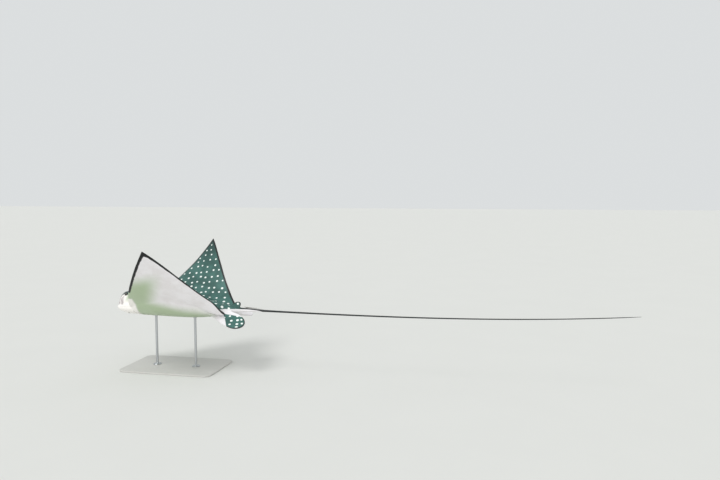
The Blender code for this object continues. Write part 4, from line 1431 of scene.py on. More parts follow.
@dataclass(frozen=True)
class RaySkinFinish:
    """Wet, slimy ray skin: smooth and slightly glossy, slate green above, chalk white below."""

    back: str = "#305a53"
    back_light: str = "#406e66"
    back_dark: str = "#213e3a"
    margin: str = "#121816"
    cap: str = "#3a4744"
    spot: str = "#f2f8f3"
    belly: str = "#ebe8ea"
    belly_warm: str = "#e3dfe0"
    mottle: str = "#a9a5a6"
    # Painted shade: a green-grey for the shade, and the green light thrown up from below, under the throat,
    # keel and wing roots.
    painted_green_shade: str = "#9eb58a"
    # Painted light: the head is a brighter white than the rest of the underside, for the brighter light that
    # falls on it.
    head: str = "#f9f5ef"
    bruise: str = "#94878b"
    band: str = "#0f1413"
    tail: str = "#141a19"
    # Painted shade: near-black in the mouth, nostrils, gill slits, spiracles and vent, for the shade inside
    # these openings.
    hole: str = "#1b1a1c"
    spot_spacing: float = 0.053     # metres between the middles of neighbouring spots
    spot_radius: Pair = (0.0074, 0.0097)  # smallest and largest
    spot_rim: Pair = (0.0011, 0.0013)  # how soft a spot's edge is
    spot_scatter: float = 0.40

    def spots(self, nodes: FinishNodes, chart: object, size: object) -> NodeSocket:
        """Round white spots, evenly scattered over the back.

        Args:
            nodes: the material's nodes.
            chart: the skin's flat coordinates.
            size: share of the full size here.

        Returns:
            1 inside a spot, 0 outside.
        """
        wander = nodes.node("ShaderNodeTexNoise", {"Vector": chart, "Scale": 1 / 0.02, "Detail": 1.0})
        away = nodes.node("ShaderNodeVectorMath", {0: wander.outputs["Color"], 1: (0.5, 0.5, 0.5)},
                          operation="SUBTRACT")
        shift = nodes.node("ShaderNodeVectorMath", {0: away, 3: 0.003}, operation="SCALE")
        warped = nodes.node("ShaderNodeVectorMath", {0: chart, 1: shift}, operation="ADD")
        spacing = self.spot_spacing
        low, high = self.spot_radius
        cells = nodes.node("ShaderNodeTexVoronoi", {
            "Vector": warped, "Scale": 1 / spacing, "Randomness": self.spot_scatter,
        }, voronoi_dimensions="2D")
        chance = nodes.node("ShaderNodeSeparateColor", {"Color": cells.outputs["Color"]})
        radius = nodes.add("MULTIPLY_ADD", chance, (high - low) / spacing, low / spacing)
        radius = nodes.add("MULTIPLY", radius, size)
        inner = nodes.add("SUBTRACT", radius, self.spot_rim[0] / spacing)
        outer = nodes.add("ADD", radius, self.spot_rim[1] / spacing)
        inside = nodes.add("step", cells.outputs["Distance"], outer, inner)
        return nodes.add("MULTIPLY", inside, nodes.add("step", size, 0.12, 0.3))

    def back_colour(self, nodes: FinishNodes, rest: object, chart: object) -> NodeSocket:
        """The unspotted back: lighter along the body, darker out towards the tips."""
        place = nodes.node("ShaderNodeSeparateXYZ", {"Vector": rest}).outputs
        out = nodes.add("ABSOLUTE", place["Y"])
        cloud = nodes.add("step", nodes.add("noise", rest, 1 / 0.09, 4.0), 0.35, 0.65)
        colour = nodes.add("mix", cloud, self.back, self.back_light)
        colour = nodes.add("mix", nodes.add("step", out, 0.42, 0.76), colour, self.back_dark)
        flecks = nodes.add("step", nodes.add("noise", chart, 1 / 0.006, 3.0), 0.55, 0.75)
        return nodes.add("mix", nodes.add("MULTIPLY", flecks, 0.55), colour, self.back_dark)

    def belly_colour(self, nodes: FinishNodes, rest: object) -> NodeSocket:
        """The pale underside: cloudy white; painted shade, green-grey, behind the head; painted light, a
        brighter white, on the head; bruised streaks on its front.
        """
        place = nodes.node("ShaderNodeSeparateXYZ", {"Vector": rest}).outputs
        out, along, height = nodes.add("ABSOLUTE", place["Y"]), place["X"], place["Z"]
        cloud = nodes.add("step", nodes.add("noise", rest, 1 / 0.11, 3.0), 0.38, 0.66)
        colour = nodes.add("mix", cloud, self.belly, self.belly_warm)
        mottles = nodes.add("step", nodes.add("noise", rest, 1 / 0.019, 4.0), 0.60, 0.76)
        colour = nodes.add("mix", nodes.add("MULTIPLY", mottles, 0.22), colour, self.mottle)
        # Painted shade, tinted green by light thrown up from below, begins in an arc behind the head. It
        # fills the wing's front, which is swept back, and a wedge along the keel, and it shows again on the
        # cheek. Places are in metres.
        behind = nodes.add("step", nodes.add("MULTIPLY_ADD", out, -0.185, along), 0.222, 0.250)
        behind = nodes.add("MAXIMUM", behind, nodes.add("step", out, 0.268, 0.296))
        swept = nodes.add("step", nodes.add("MULTIPLY_ADD", out, -0.55, along), 0.37, 0.21)
        front = nodes.add("MULTIPLY", swept, nodes.add("step", out, 0.575, 0.42))
        inward = nodes.add("step", nodes.add("MULTIPLY_ADD", along, 0.37, out), 0.435, 0.335)
        keel = nodes.add("MULTIPLY", inward, nodes.add("step", along, 0.92, 0.70))
        raised = nodes.add("step", height, 0.010, 0.052)
        cheek = nodes.add("MULTIPLY", raised, nodes.add("step", along, 0.108, 0.150))
        painted_shade = nodes.add("MULTIPLY", nodes.add("MAXIMUM", front, keel), behind)
        painted_shade = nodes.add("MAXIMUM", painted_shade, nodes.add("MULTIPLY", cheek, 0.8))
        # Painted light: the head, in front of the arc, is painted a brighter white.
        head = nodes.add("MULTIPLY", nodes.add("step", behind, 0.5, 0.2), 0.85)
        colour = nodes.add("mix", head, colour, self.head)
        streaked = nodes.add("scaled", rest, (1.0, 1.0, 0.35))
        streaks = nodes.add("step", nodes.add("noise", streaked, 1 / 0.024, 4.0), 0.42, 0.62)
        raised = nodes.add("step", height, -0.012, 0.008)
        on_front = nodes.add("MULTIPLY", nodes.add("step", along, 0.115, 0.080), raised)
        bruised = nodes.add("MULTIPLY", nodes.add("MULTIPLY", streaks, on_front), 0.85)
        colour = nodes.add("mix", bruised, colour, self.bruise)
        # Mix in the painted green-grey shade.
        return nodes.add("mix", nodes.add("MULTIPLY", painted_shade, 0.82), colour, self.painted_green_shade)

    def build(self) -> Material:
        """Build the material.

        Returns:
            The skin's material.
        """
        nodes = FinishNodes("Wet ray skin")
        rest, chart = nodes.stored("rest", "chart", output="Vector")
        dark, edge, opening, size = nodes.stored("dark", "edge", "opening", "spots")
        place = nodes.node("ShaderNodeSeparateXYZ", {"Vector": rest}).outputs
        along = place["X"]
        # The line between back and belly is ragged: finely on the body, in blotches on the head.
        uneven = nodes.add("MULTIPLY_ADD", nodes.add("step", along, 1.0, 0.7), 0.008, 0.001)
        ragged = nodes.add("SUBTRACT", nodes.add("noise", rest, 1 / 0.009, 4.0), 0.5)
        ragged = nodes.add("MULTIPLY", ragged, uneven)
        blotched = nodes.add("MULTIPLY", nodes.add("step", along, 0.17, 0.12), 0.034)
        patches = nodes.add("SUBTRACT", nodes.add("noise", rest, 1 / 0.032, 2.0), 0.5)
        ragged = nodes.add("MULTIPLY_ADD", patches, blotched, ragged)
        soft = nodes.add("MULTIPLY_ADD", nodes.add("step", along, 0.20, 0.16), 0.0020, 0.0010)
        height = nodes.add("ADD", dark, ragged)
        is_back = nodes.add("step", height, nodes.add("MULTIPLY", soft, -1.0), soft)
        spots = self.spots(nodes, chart, size)
        back = nodes.add("mix", spots, self.back_colour(nodes, rest, chart), self.spot)
        wavy = nodes.add("MULTIPLY_ADD", nodes.add("noise", rest, 1 / 0.03, 3.0), 0.5, -0.25)
        in_band = nodes.add("step", nodes.add("ADD", edge, wavy), 1.15, 0.85)
        belly = nodes.add("mix", in_band, self.belly_colour(nodes, rest), self.band)
        back = nodes.add("mix", nodes.add("step", along, 0.16, 0.10), back, self.cap)
        shaded = nodes.add("mix", nodes.add("step", edge, 1.05, 0.70), back, self.margin)
        colour = nodes.add("mix", is_back, belly, shaded)
        # The tail is near black; the fins beside and above its root are not.
        out = nodes.add("ABSOLUTE", place["Y"])
        low = nodes.add("step", place["Z"], 0.024, 0.019)
        narrow = nodes.add("MULTIPLY", nodes.add("step", out, 0.048, 0.036), low)
        on_tail = nodes.add("MULTIPLY", nodes.add("step", along, 0.96, 1.02), is_back)
        on_tail = nodes.add("MULTIPLY", on_tail, narrow)
        colour = nodes.add("mix", on_tail, colour, self.tail)
        # Painted shade: the openings are painted near-black for the shade inside them.
        colour = nodes.add("mix", opening, colour, self.hole)
        fine = nodes.add("noise", rest, 1 / 0.0022, 2.0)
        folds = nodes.add("noise", rest, 1 / 0.022, 4.0)
        bump = nodes.add("bump", fine, 0.22, 0.0006)
        bump = nodes.add("bump", folds, 0.30, 0.0020, bump)
        rough = nodes.add("MULTIPLY_ADD", nodes.add("noise", rest, 1 / 0.05, 3.0), 0.22, 0.36)
        return nodes.dress({
            "Base Color": colour, "Roughness": rough, "Normal": bump, "IOR": 1.40,
            "Coat Weight": 0.22, "Coat Roughness": 0.28, "Coat IOR": 1.34,
        })


@dataclass(frozen=True)
class EyeFinish:
    """A glass eye: a dark iris with a gold rim round a black pupil that is wider than high."""

    pupil: str = "#050606"
    iris: str = "#1e1a16"
    gold: str = "#55452c"
    ball: str = "#1a1f1f"
    pupil_half: Pair = (0.36, 0.25)

    def build(self) -> Material:
        """Build the material.

        Returns:
            The eyes' material.
        """
        nodes = FinishNodes("Glass eye")
        gaze, = nodes.stored("gaze", output="Vector")
        parts = nodes.node("ShaderNodeSeparateXYZ", {"Vector": gaze}).outputs
        x, y = parts["X"], parts["Y"]
        from_middle = nodes.add("MULTIPLY_ADD", x, x, nodes.add("MULTIPLY", y, y))
        from_middle = nodes.add("POWER", from_middle, 0.5)
        wide = nodes.add("DIVIDE", x, self.pupil_half[0])
        high = nodes.add("DIVIDE", y, self.pupil_half[1])
        share = nodes.add("MULTIPLY_ADD", wide, wide, nodes.add("MULTIPLY", high, high))
        streaks = nodes.add("noise", gaze, 1 / 0.05, 3.0)
        iris = nodes.add("mix", nodes.add("MULTIPLY", streaks, 0.6), self.iris, self.gold)
        rim = nodes.add("step", share, 1.7, 1.3)
        rim = nodes.add("MULTIPLY", nodes.add("step", share, 1.0, 1.25), rim)
        iris = nodes.add("mix", nodes.add("MULTIPLY", rim, 0.7), iris, self.gold)
        colour = nodes.add("mix", nodes.add("step", share, 1.08, 0.92), iris, self.pupil)
        colour = nodes.add("mix", nodes.add("step", from_middle, 0.60, 0.68), colour, self.ball)
        return nodes.dress({
            "Base Color": colour, "Roughness": 0.12, "IOR": 1.45, "Coat Weight": 1.0, "Coat Roughness": 0.03,
        })


@dataclass(frozen=True)
class SpineFinish:
    """Tail spine: dense bone, ivory with brown stains, duller than the skin."""

    bone: str = "#5d5446"
    stain: str = "#2e2923"

    def build(self) -> Material:
        """Build the material.

        Returns:
            The stings' material.
        """
        nodes = FinishNodes("Tail spine bone")
        place = nodes.node("ShaderNodeTexCoord").outputs["Object"]
        stretched = nodes.add("scaled", place, (0.2, 1.0, 1.0))
        grooves = nodes.add("noise", stretched, 1 / 0.0016, 3.0)
        blotches = nodes.add("step", nodes.add("noise", place, 1 / 0.012, 2.0), 0.40, 0.68)
        share = nodes.add("MULTIPLY", nodes.add("ADD", grooves, blotches), 0.42)
        bump = nodes.add("bump", grooves, 0.5, 0.0003)
        return nodes.dress({
            "Base Color": nodes.add("mix", share, self.bone, self.stain), "Normal": bump,
            "Roughness": 0.48, "IOR": 1.55,
        })


@dataclass(frozen=True)
class SteelFinish:
    """Brushed stainless steel: bright, with fine lines round the rod that draw its highlights out."""

    colour: str = "#b9bcbe"

    def build(self) -> Material:
        """Build the material.

        Returns:
            The rods' material.
        """
        nodes = FinishNodes("Brushed stainless steel")
        place = nodes.node("ShaderNodeTexCoord").outputs["Object"]
        squeezed = nodes.add("scaled", place, (0.05, 0.05, 1.0))
        lines = nodes.add("noise", squeezed, 1 / 0.0007, 4.0)
        bump = nodes.add("bump", lines, 0.25, 0.0001)
        return nodes.dress({
            "Base Color": self.colour, "Metallic": 1.0, "Normal": bump,
            "Roughness": nodes.add("MULTIPLY_ADD", lines, 0.2, 0.22),
        })


@dataclass(frozen=True)
class PaintFinish:
    """Powder-coated steel plate: light warm grey, satin, with a faint orange peel."""

    colour: str = "#c9c8c3"
    shade: str = "#bdbcb7"

    def build(self) -> Material:
        """Build the material.

        Returns:
            The base's material.
        """
        nodes = FinishNodes("Powder-coated steel")
        place = nodes.node("ShaderNodeTexCoord").outputs["Object"]
        peel = nodes.add("noise", place, 1 / 0.0022, 2.0)
        cloud = nodes.add("noise", place, 1 / 0.20, 2.0)
        bump = nodes.add("bump", peel, 0.18, 0.0003)
        return nodes.dress({
            "Base Color": nodes.add("mix", cloud, self.colour, self.shade), "IOR": 1.5,
            "Roughness": nodes.add("MULTIPLY_ADD", peel, 0.12, 0.40), "Normal": bump,
        })


@dataclass(frozen=True)
class FloorFinish:
    """A plain, matt, pale studio floor."""

    colour: str = "#dededa"
    cloudy: str = "#d2d2ce"

    def build(self) -> Material:
        """Build the material.

        Returns:
            The floor's material.
        """
        nodes = FinishNodes("Matt studio floor")
        place = nodes.node("ShaderNodeTexCoord").outputs["Object"]
        cloud = nodes.add("noise", place, 1 / 0.6, 2.0)
        return nodes.dress({
            "Base Color": nodes.add("mix", nodes.add("MULTIPLY", cloud, 0.25), self.colour, self.cloudy),
            "Roughness": 0.85, "Specular IOR Level": 0.2,
        })


# ---- geometry nodes
class NodeGroup(Nodes):
    """A geometry node group with named inputs, run on a mesh whose result is kept as a plain mesh."""

    def __init__(self, name: str, **inputs: str) -> None:
        """Make the group.

        Args:
            name: the group's name.
            inputs: each named input and its kind of socket, without the "NodeSocket" in front.
        """
        super().__init__(bpy.data.node_groups.new(name, "GeometryNodeTree"))
        self.names = {}
        for label, kind in (("Geometry", "Geometry"), *inputs.items(), ("Finish", "Material")):
            words = label.replace("_", " ").capitalize()
            self.names[label] = words
            self.tree.interface.new_socket(words, in_out="INPUT", socket_type=f"NodeSocket{kind}")
        self.tree.interface.new_socket("Geometry", in_out="OUTPUT", socket_type="NodeSocketGeometry")
        self.entry = self.tree.nodes.new("NodeGroupInput")
        self.exit = self.tree.nodes.new("NodeGroupOutput")

    def given(self, label: str) -> NodeSocket:
        """The socket of a named input."""
        return self.entry.outputs[self.names[label]]

    def close(self, *parts: Node | NodeSocket) -> None:
        """Join the parts, realise their instances and give them the finish."""
        joined = self.node("GeometryNodeJoinGeometry")
        for part in parts:
            self.fill(joined, {0: part})
        real = self.node("GeometryNodeRealizeInstances", {0: joined})
        dressed = self.node("GeometryNodeSetMaterial", {"Geometry": real, "Material": self.given("Finish")})
        self.fill(self.exit, {0: dressed})

    def run(self, mesh: Mesh, **values: object) -> Mesh:
        """Run the group.

        Args:
            mesh: what it starts from.
            values: a value for each named input.

        Returns:
            The result as a plain mesh.
        """
        holder = bpy.data.objects.new(self.tree.name, mesh)
        bpy.context.scene.collection.objects.link(holder)
        modifier = holder.modifiers.new(self.tree.name, "NODES")
        modifier.node_group = self.tree
        labels = {words: label for label, words in self.names.items()}
        for item in self.tree.interface.items_tree:
            if item.in_out == "INPUT" and labels[item.name] in values:
                modifier[item.identifier] = values[labels[item.name]]
        bpy.context.view_layer.update()
        made = bpy.data.meshes.new_from_object(holder.evaluated_get(bpy.context.evaluated_depsgraph_get()))
        bpy.data.objects.remove(holder, do_unlink=True)
        return made


class BarbRows(NodeGroup):
    """Rows of barbs down both edges of a spine that lies along X, each pointing back to its root."""

    def __init__(self) -> None:
        """Set up the group's nodes."""
        super().__init__(
            "barb_rows", count="Int", first="Vector", last="Vector", half_width="Float", barb_length="Float",
            barb_radius="Float", lean="Float", flatness="Float")
        line = self.node("GeometryNodeMeshLine", {
            "Count": self.given("count"), "Start Location": self.given("first"), "Offset": self.given("last"),
        }, mode="END_POINTS")
        index = self.node("GeometryNodeInputIndex")
        share = self.add("DIVIDE", index, self.given("count"))
        taper = self.node("ShaderNodeMapRange", {"Value": share, "From Min": 0.35, "From Max": 1.0,
                                                 "To Min": 1.0, "To Max": 0.30})
        out = self.add("MULTIPLY", self.given("half_width"), taper)
        offset = self.node("ShaderNodeCombineXYZ", {"Y": out})
        points = self.node("GeometryNodeSetPosition", {"Geometry": line, "Offset": offset})
        barb = self.node("GeometryNodeMeshCone", {
            "Vertices": 10, "Side Segments": 3, "Radius Top": 0.0, "Radius Bottom": self.given("barb_radius"),
            "Depth": self.given("barb_length"),
        }).outputs["Mesh"]
        back = self.add("MULTIPLY", self.given("lean"), -1.0)
        way = self.node("ShaderNodeCombineXYZ", {"X": back, "Y": 1.0})
        turn = self.node("FunctionNodeAlignRotationToVector", {"Vector": way}, axis="Z")
        placed = self.node("GeometryNodeInstanceOnPoints", {
            "Points": points, "Instance": barb, "Rotation": turn, "Scale": taper})
        flat = self.node("ShaderNodeCombineXYZ", {"X": 1.0, "Y": 1.0, "Z": self.given("flatness")})
        one_side = self.node("GeometryNodeTransform", {"Geometry": placed, "Scale": flat})
        other = self.node("GeometryNodeTransform", {"Geometry": one_side, "Rotation": (math.pi, 0.0, 0.0)})
        self.close(self.given("Geometry"), one_side, other)


class ScrewRing(NodeGroup):
    """A ring of equal screw heads about Z at a given height."""

    def __init__(self) -> None:
        """Set up the group's nodes."""
        super().__init__("screw_ring", count="Int", ring_radius="Float", centre="Vector", screw="Object")
        ring = self.node("GeometryNodeMeshCircle", {
            "Vertices": self.given("count"), "Radius": self.given("ring_radius")})
        moved = self.node("GeometryNodeTransform", {
            "Geometry": ring, "Translation": self.given("centre"), "Rotation": (0.0, 0.0, math.pi / 4)})
        screw = self.node("GeometryNodeObjectInfo", {"Object": self.given("screw")}).outputs["Geometry"]
        turns = self.node("FunctionNodeRandomValue", {2: 0.0, 3: 6.28, "Seed": 5},
                          data_type="FLOAT").outputs[1]
        turn = self.node("ShaderNodeCombineXYZ", {"Z": turns})
        placed = self.node("GeometryNodeInstanceOnPoints", {
            "Points": moved, "Instance": screw, "Rotation": turn})
        self.close(self.given("Geometry"), placed)


class Fringe(NodeGroup):
    """Short fleshy fingers along the marked edge of a flap, uneven in length."""

    def __init__(self) -> None:
        """Set up the group's nodes."""
        super().__init__("fringe", finger_length="Float", finger_radius="Float", seed="Int")
        finger = self.node("GeometryNodeMeshCone", {
            "Vertices": 8, "Side Segments": 3, "Radius Top": 0.0002,
            "Radius Bottom": self.given("finger_radius"), "Depth": self.given("finger_length"),
        }).outputs["Mesh"]
        marked = self.node("GeometryNodeInputNamedAttribute", {"Name": "fringe"}, data_type="FLOAT")
        chance = self.node("FunctionNodeRandomValue", {2: 0.6, 3: 1.25, "Seed": self.given("seed")},
                           data_type="FLOAT").outputs[1]
        size = self.node("ShaderNodeCombineXYZ", {"X": 1.0, "Y": 1.0, "Z": chance})
        turn = self.node("FunctionNodeAlignRotationToVector", {"Vector": (1.0, 0.0, -0.15)}, axis="Z")
        chosen = self.node("FunctionNodeCompare", {0: marked, 1: 0.5}, data_type="FLOAT",
                           operation="GREATER_THAN")
        placed = self.node("GeometryNodeInstanceOnPoints", {
            "Points": self.given("Geometry"), "Selection": chosen, "Instance": finger, "Rotation": turn,
            "Scale": size})
        self.close(self.given("Geometry"), placed)


def lathe(name: str, profile: Sequence[Pair], centre: Sequence[float],
          segments: int = 72) -> Mesh:
    """Turn a profile about a vertical axis.

    Args:
        name: the mesh's name.
        profile: (radius, height) points from the bottom to the top; the ends are closed.
        centre: where the axis stands.
        segments: steps round.

    Returns:
        The mesh.
    """
    angles = np.arange(segments) * 2 * math.pi / segments
    points = [(r * math.cos(t), r * math.sin(t), z) for r, z in profile for t in angles]
    points += [(0, 0, profile[0][1]), (0, 0, profile[-1][1])]
    faces = ring_faces(len(profile), segments)
    return new_mesh(name, np.array(points) + np.array((*centre, 0.0)[:3]), faces)


# ---- eyes, stings, nasal curtain
@dataclass
class Eyes:
    """Both eyeballs, with a slightly raised clear front."""

    rings: int = 40
    segments: int = 72
    front_rise: float = 0.045
    front_from: float = 0.62

    def build(self, finish: Material) -> list[Object]:
        """Build both eyes and let them stand for the solid balls."""
        made = []
        for side in Side:
            word = side.name.lower()
            axis, ahead, brow = EYE.frame(side.value)
            turn = np.linspace(0, math.pi, self.rings + 1)[1:-1, None]
            round_it = (np.arange(self.segments) * 2 * math.pi / self.segments)[None]
            along = np.cos(turn) + 0 * round_it
            x, y = np.sin(turn) * np.cos(round_it), np.sin(turn) * np.sin(round_it)
            scale = EYE.radius * (1 + self.front_rise * smooth(along, self.front_from, 1.0))
            gaze = np.stack((x, y, along), axis=-1).reshape(-1, 3)
            gaze = np.concatenate((gaze, ((0, 0, 1), (0, 0, -1))))
            reach = np.concatenate((scale.ravel(), (EYE.radius * (1 + self.front_rise), EYE.radius)))
            flat = EYE.middle(side.value) + reach[:, None] * (gaze @ np.stack((ahead, brow, axis)))
            mesh = new_mesh(f"eyeball_{word}", POSE.place(flat), ring_faces(self.rings - 1, self.segments))
            write_attribute(mesh, "gaze", gaze)
            eye = add_object(f"eyeball_{word}", mesh, finish)
            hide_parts(f"eye_{word}")
            made.append(eye)
        return made


@dataclass(frozen=True)
class Sting:
    """A flat, barbed tail spine. Lengths are in disc widths."""

    name: str
    stands_for: str
    start: float
    height: float
    length: float
    barbs: int
    half_width: float = 0.0031
    half_thick: float = 0.0011
    slope: float = -0.03
    rows: int = 90
    segments: int = 20

    def blade(self) -> Mesh:
        """The blade in its own frame, along X: oval in section, with a groove down its upper face."""
        share = np.linspace(0.0, 1.0, self.rows)[:, None]
        turn = (np.arange(self.segments) * 2 * math.pi / self.segments)[None]
        # Widest a little behind its root, then narrower down to a fine tip.
        width = self.half_width * (0.8 + 0.2 * smooth(share, 0, 0.15)) * (1 - 0.93 * smooth(share, 0.5, 1.04))
        thick = self.half_thick * (1 - 0.75 * share)
        y = width * np.cos(turn)
        z = thick * np.sin(turn)
        z = z - 0.45 * thick * hump(y / np.maximum(width, 1e-6), 0.22) * (np.sin(turn) > 0)
        points = np.stack((self.length * share + 0 * turn, y, z), axis=-1).reshape(-1, 3)
        points = np.concatenate((points, ((0, 0, 0), (self.length, 0, 0))))
        return new_mesh(self.name, points, ring_faces(self.rows, self.segments))

    def build(self, group: BarbRows, finish: Material) -> Object:
        """Build the spine and let it stand for its solid.

        Args:
            group: sets the barbs on the blade.
            finish: the spine's material.

        Returns:
            The piece.
        """
        mesh = group.run(
            self.blade(), count=self.barbs * 2, first=(0.20 * self.length, 0.0, 0.0),
            last=(0.95 * self.length, 0.0, 0.0), half_width=self.half_width * 0.90,
            barb_length=self.half_width * 0.62, barb_radius=self.half_width * 0.26, lean=1.1, flatness=0.5,
            Finish=finish)
        local = read_points(mesh)
        slant = math.atan(self.slope)
        flat = np.column_stack((
            self.start + local[:, 0] * math.cos(slant) - local[:, 2] * math.sin(slant), local[:, 1],
            self.height + local[:, 0] * math.sin(slant) + local[:, 2] * math.cos(slant)))
        move_points(mesh, POSE.place(flat))
        piece = add_object(self.name, mesh, finish)
        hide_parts(self.stands_for)
        return piece


@dataclass(frozen=True)
class NasalCurtain:
    """The fringed flap that hangs from between the nostrils down to the upper lip."""

    start: float = 0.0590
    end: float = 0.0785
    half_width: Pair = (0.0245, 0.0310)  # in front, and at its free edge
    thickness: float = 0.0013
    sunk: float = 0.0016            # how deep its fixed edges lie in the skin
    notch: float = 0.0042
    columns: int = 120
    rows: int = 16

    def sheet(self) -> Mesh:
        """The flap on the flat animal, with its free edge marked for the fringe."""
        u = np.linspace(-1, 1, self.columns + 1)[None]
        v = np.linspace(0, 1, self.rows + 1)[:, None]
        lobes = 1 - 0.16 * np.abs(u) ** 3
        free = self.start + (self.end - self.start) * lobes - self.notch * hump(u, 0.16)
        a = self.start + (free - self.start) * v
        b = u * (self.half_width[0] + (self.half_width[1] - self.half_width[0]) * v)
        skin = self.belly_height(a + 0 * b, b)
        hang = 0.0009 + 0.0013 * np.sin(v * math.pi * 0.85) + 0.0005 * v
        edge_fade = (1 - smooth(np.abs(u), 0.86, 1.0)) * smooth(v, 0.0, 0.16)
        low = skin - hang * edge_fade + self.sunk * (1 - edge_fade)
        high = low + self.thickness * (0.4 + 0.6 * edge_fade) * (1 - 0.5 * v)
        under = np.stack((a + 0 * b, b, low), axis=-1)
        upper = np.stack((a + 0 * b, b, np.maximum(high, low + 0.0003)), axis=-1)
        count = self.columns + 1
        total = (self.rows + 1) * count
        grid = np.arange(total).reshape(self.rows + 1, count)
        quads = np.stack((grid[:-1, :-1], grid[:-1, 1:], grid[1:, 1:], grid[1:, :-1]), axis=-1).reshape(-1, 4)
        border = np.concatenate((grid[:-1, 0], grid[-1, :-1], grid[:0:-1, -1], grid[0, :0:-1]))
        after = np.roll(border, -1)
        rim = np.stack((border, after, after + total, border + total), axis=-1)
        faces = np.concatenate((quads, quads[:, [0, 3, 2, 1]] + total, rim)).tolist()
        mesh = new_mesh("nasal_curtain", np.concatenate((under.reshape(-1, 3), upper.reshape(-1, 3))), faces)
        fringe = np.zeros(2 * total)
        last = self.rows * count + np.arange(3, self.columns - 2)
        fringe[last[np.abs(np.linspace(-1, 1, len(last))) > 0.05]] = 1.0
        write_attribute(mesh, "fringe", fringe)
        return mesh

    def belly_height(self, a: Array, b: Array) -> Array:
        """Height of the head's underside."""
        wall = BODY.wall_line(a) - BODY.wall_half(a)
        share = np.clip(1 - (b / BODY.half_width(a)) ** 2, 0, 1)
        return wall + (BODY.belly_line(a) - wall) * share ** BODY.belly_fullness(a)

    def build(self, finish: Material) -> Object:
        """Build the curtain.

        Args:
            finish: the skin's material.

        Returns:
            The piece.
        """
        mesh = Fringe().run(
            self.sheet(), finger_length=0.0015, finger_radius=0.00050, seed=4, Finish=finish)
        flat = read_points(mesh)
        move_points(mesh, POSE.place(flat))
        write_attribute(mesh, "rest", flat * DISC_WIDTH)
        write_attribute(mesh, "chart", flat * DISC_WIDTH)
        for name, value in (("dark", -UPWARD), ("edge", CLEAR), ("spots", 0.0), ("opening", 0.0)):
            write_attribute(mesh, name, np.full(len(flat), value))
        return add_object("nasal_curtain", mesh, finish)


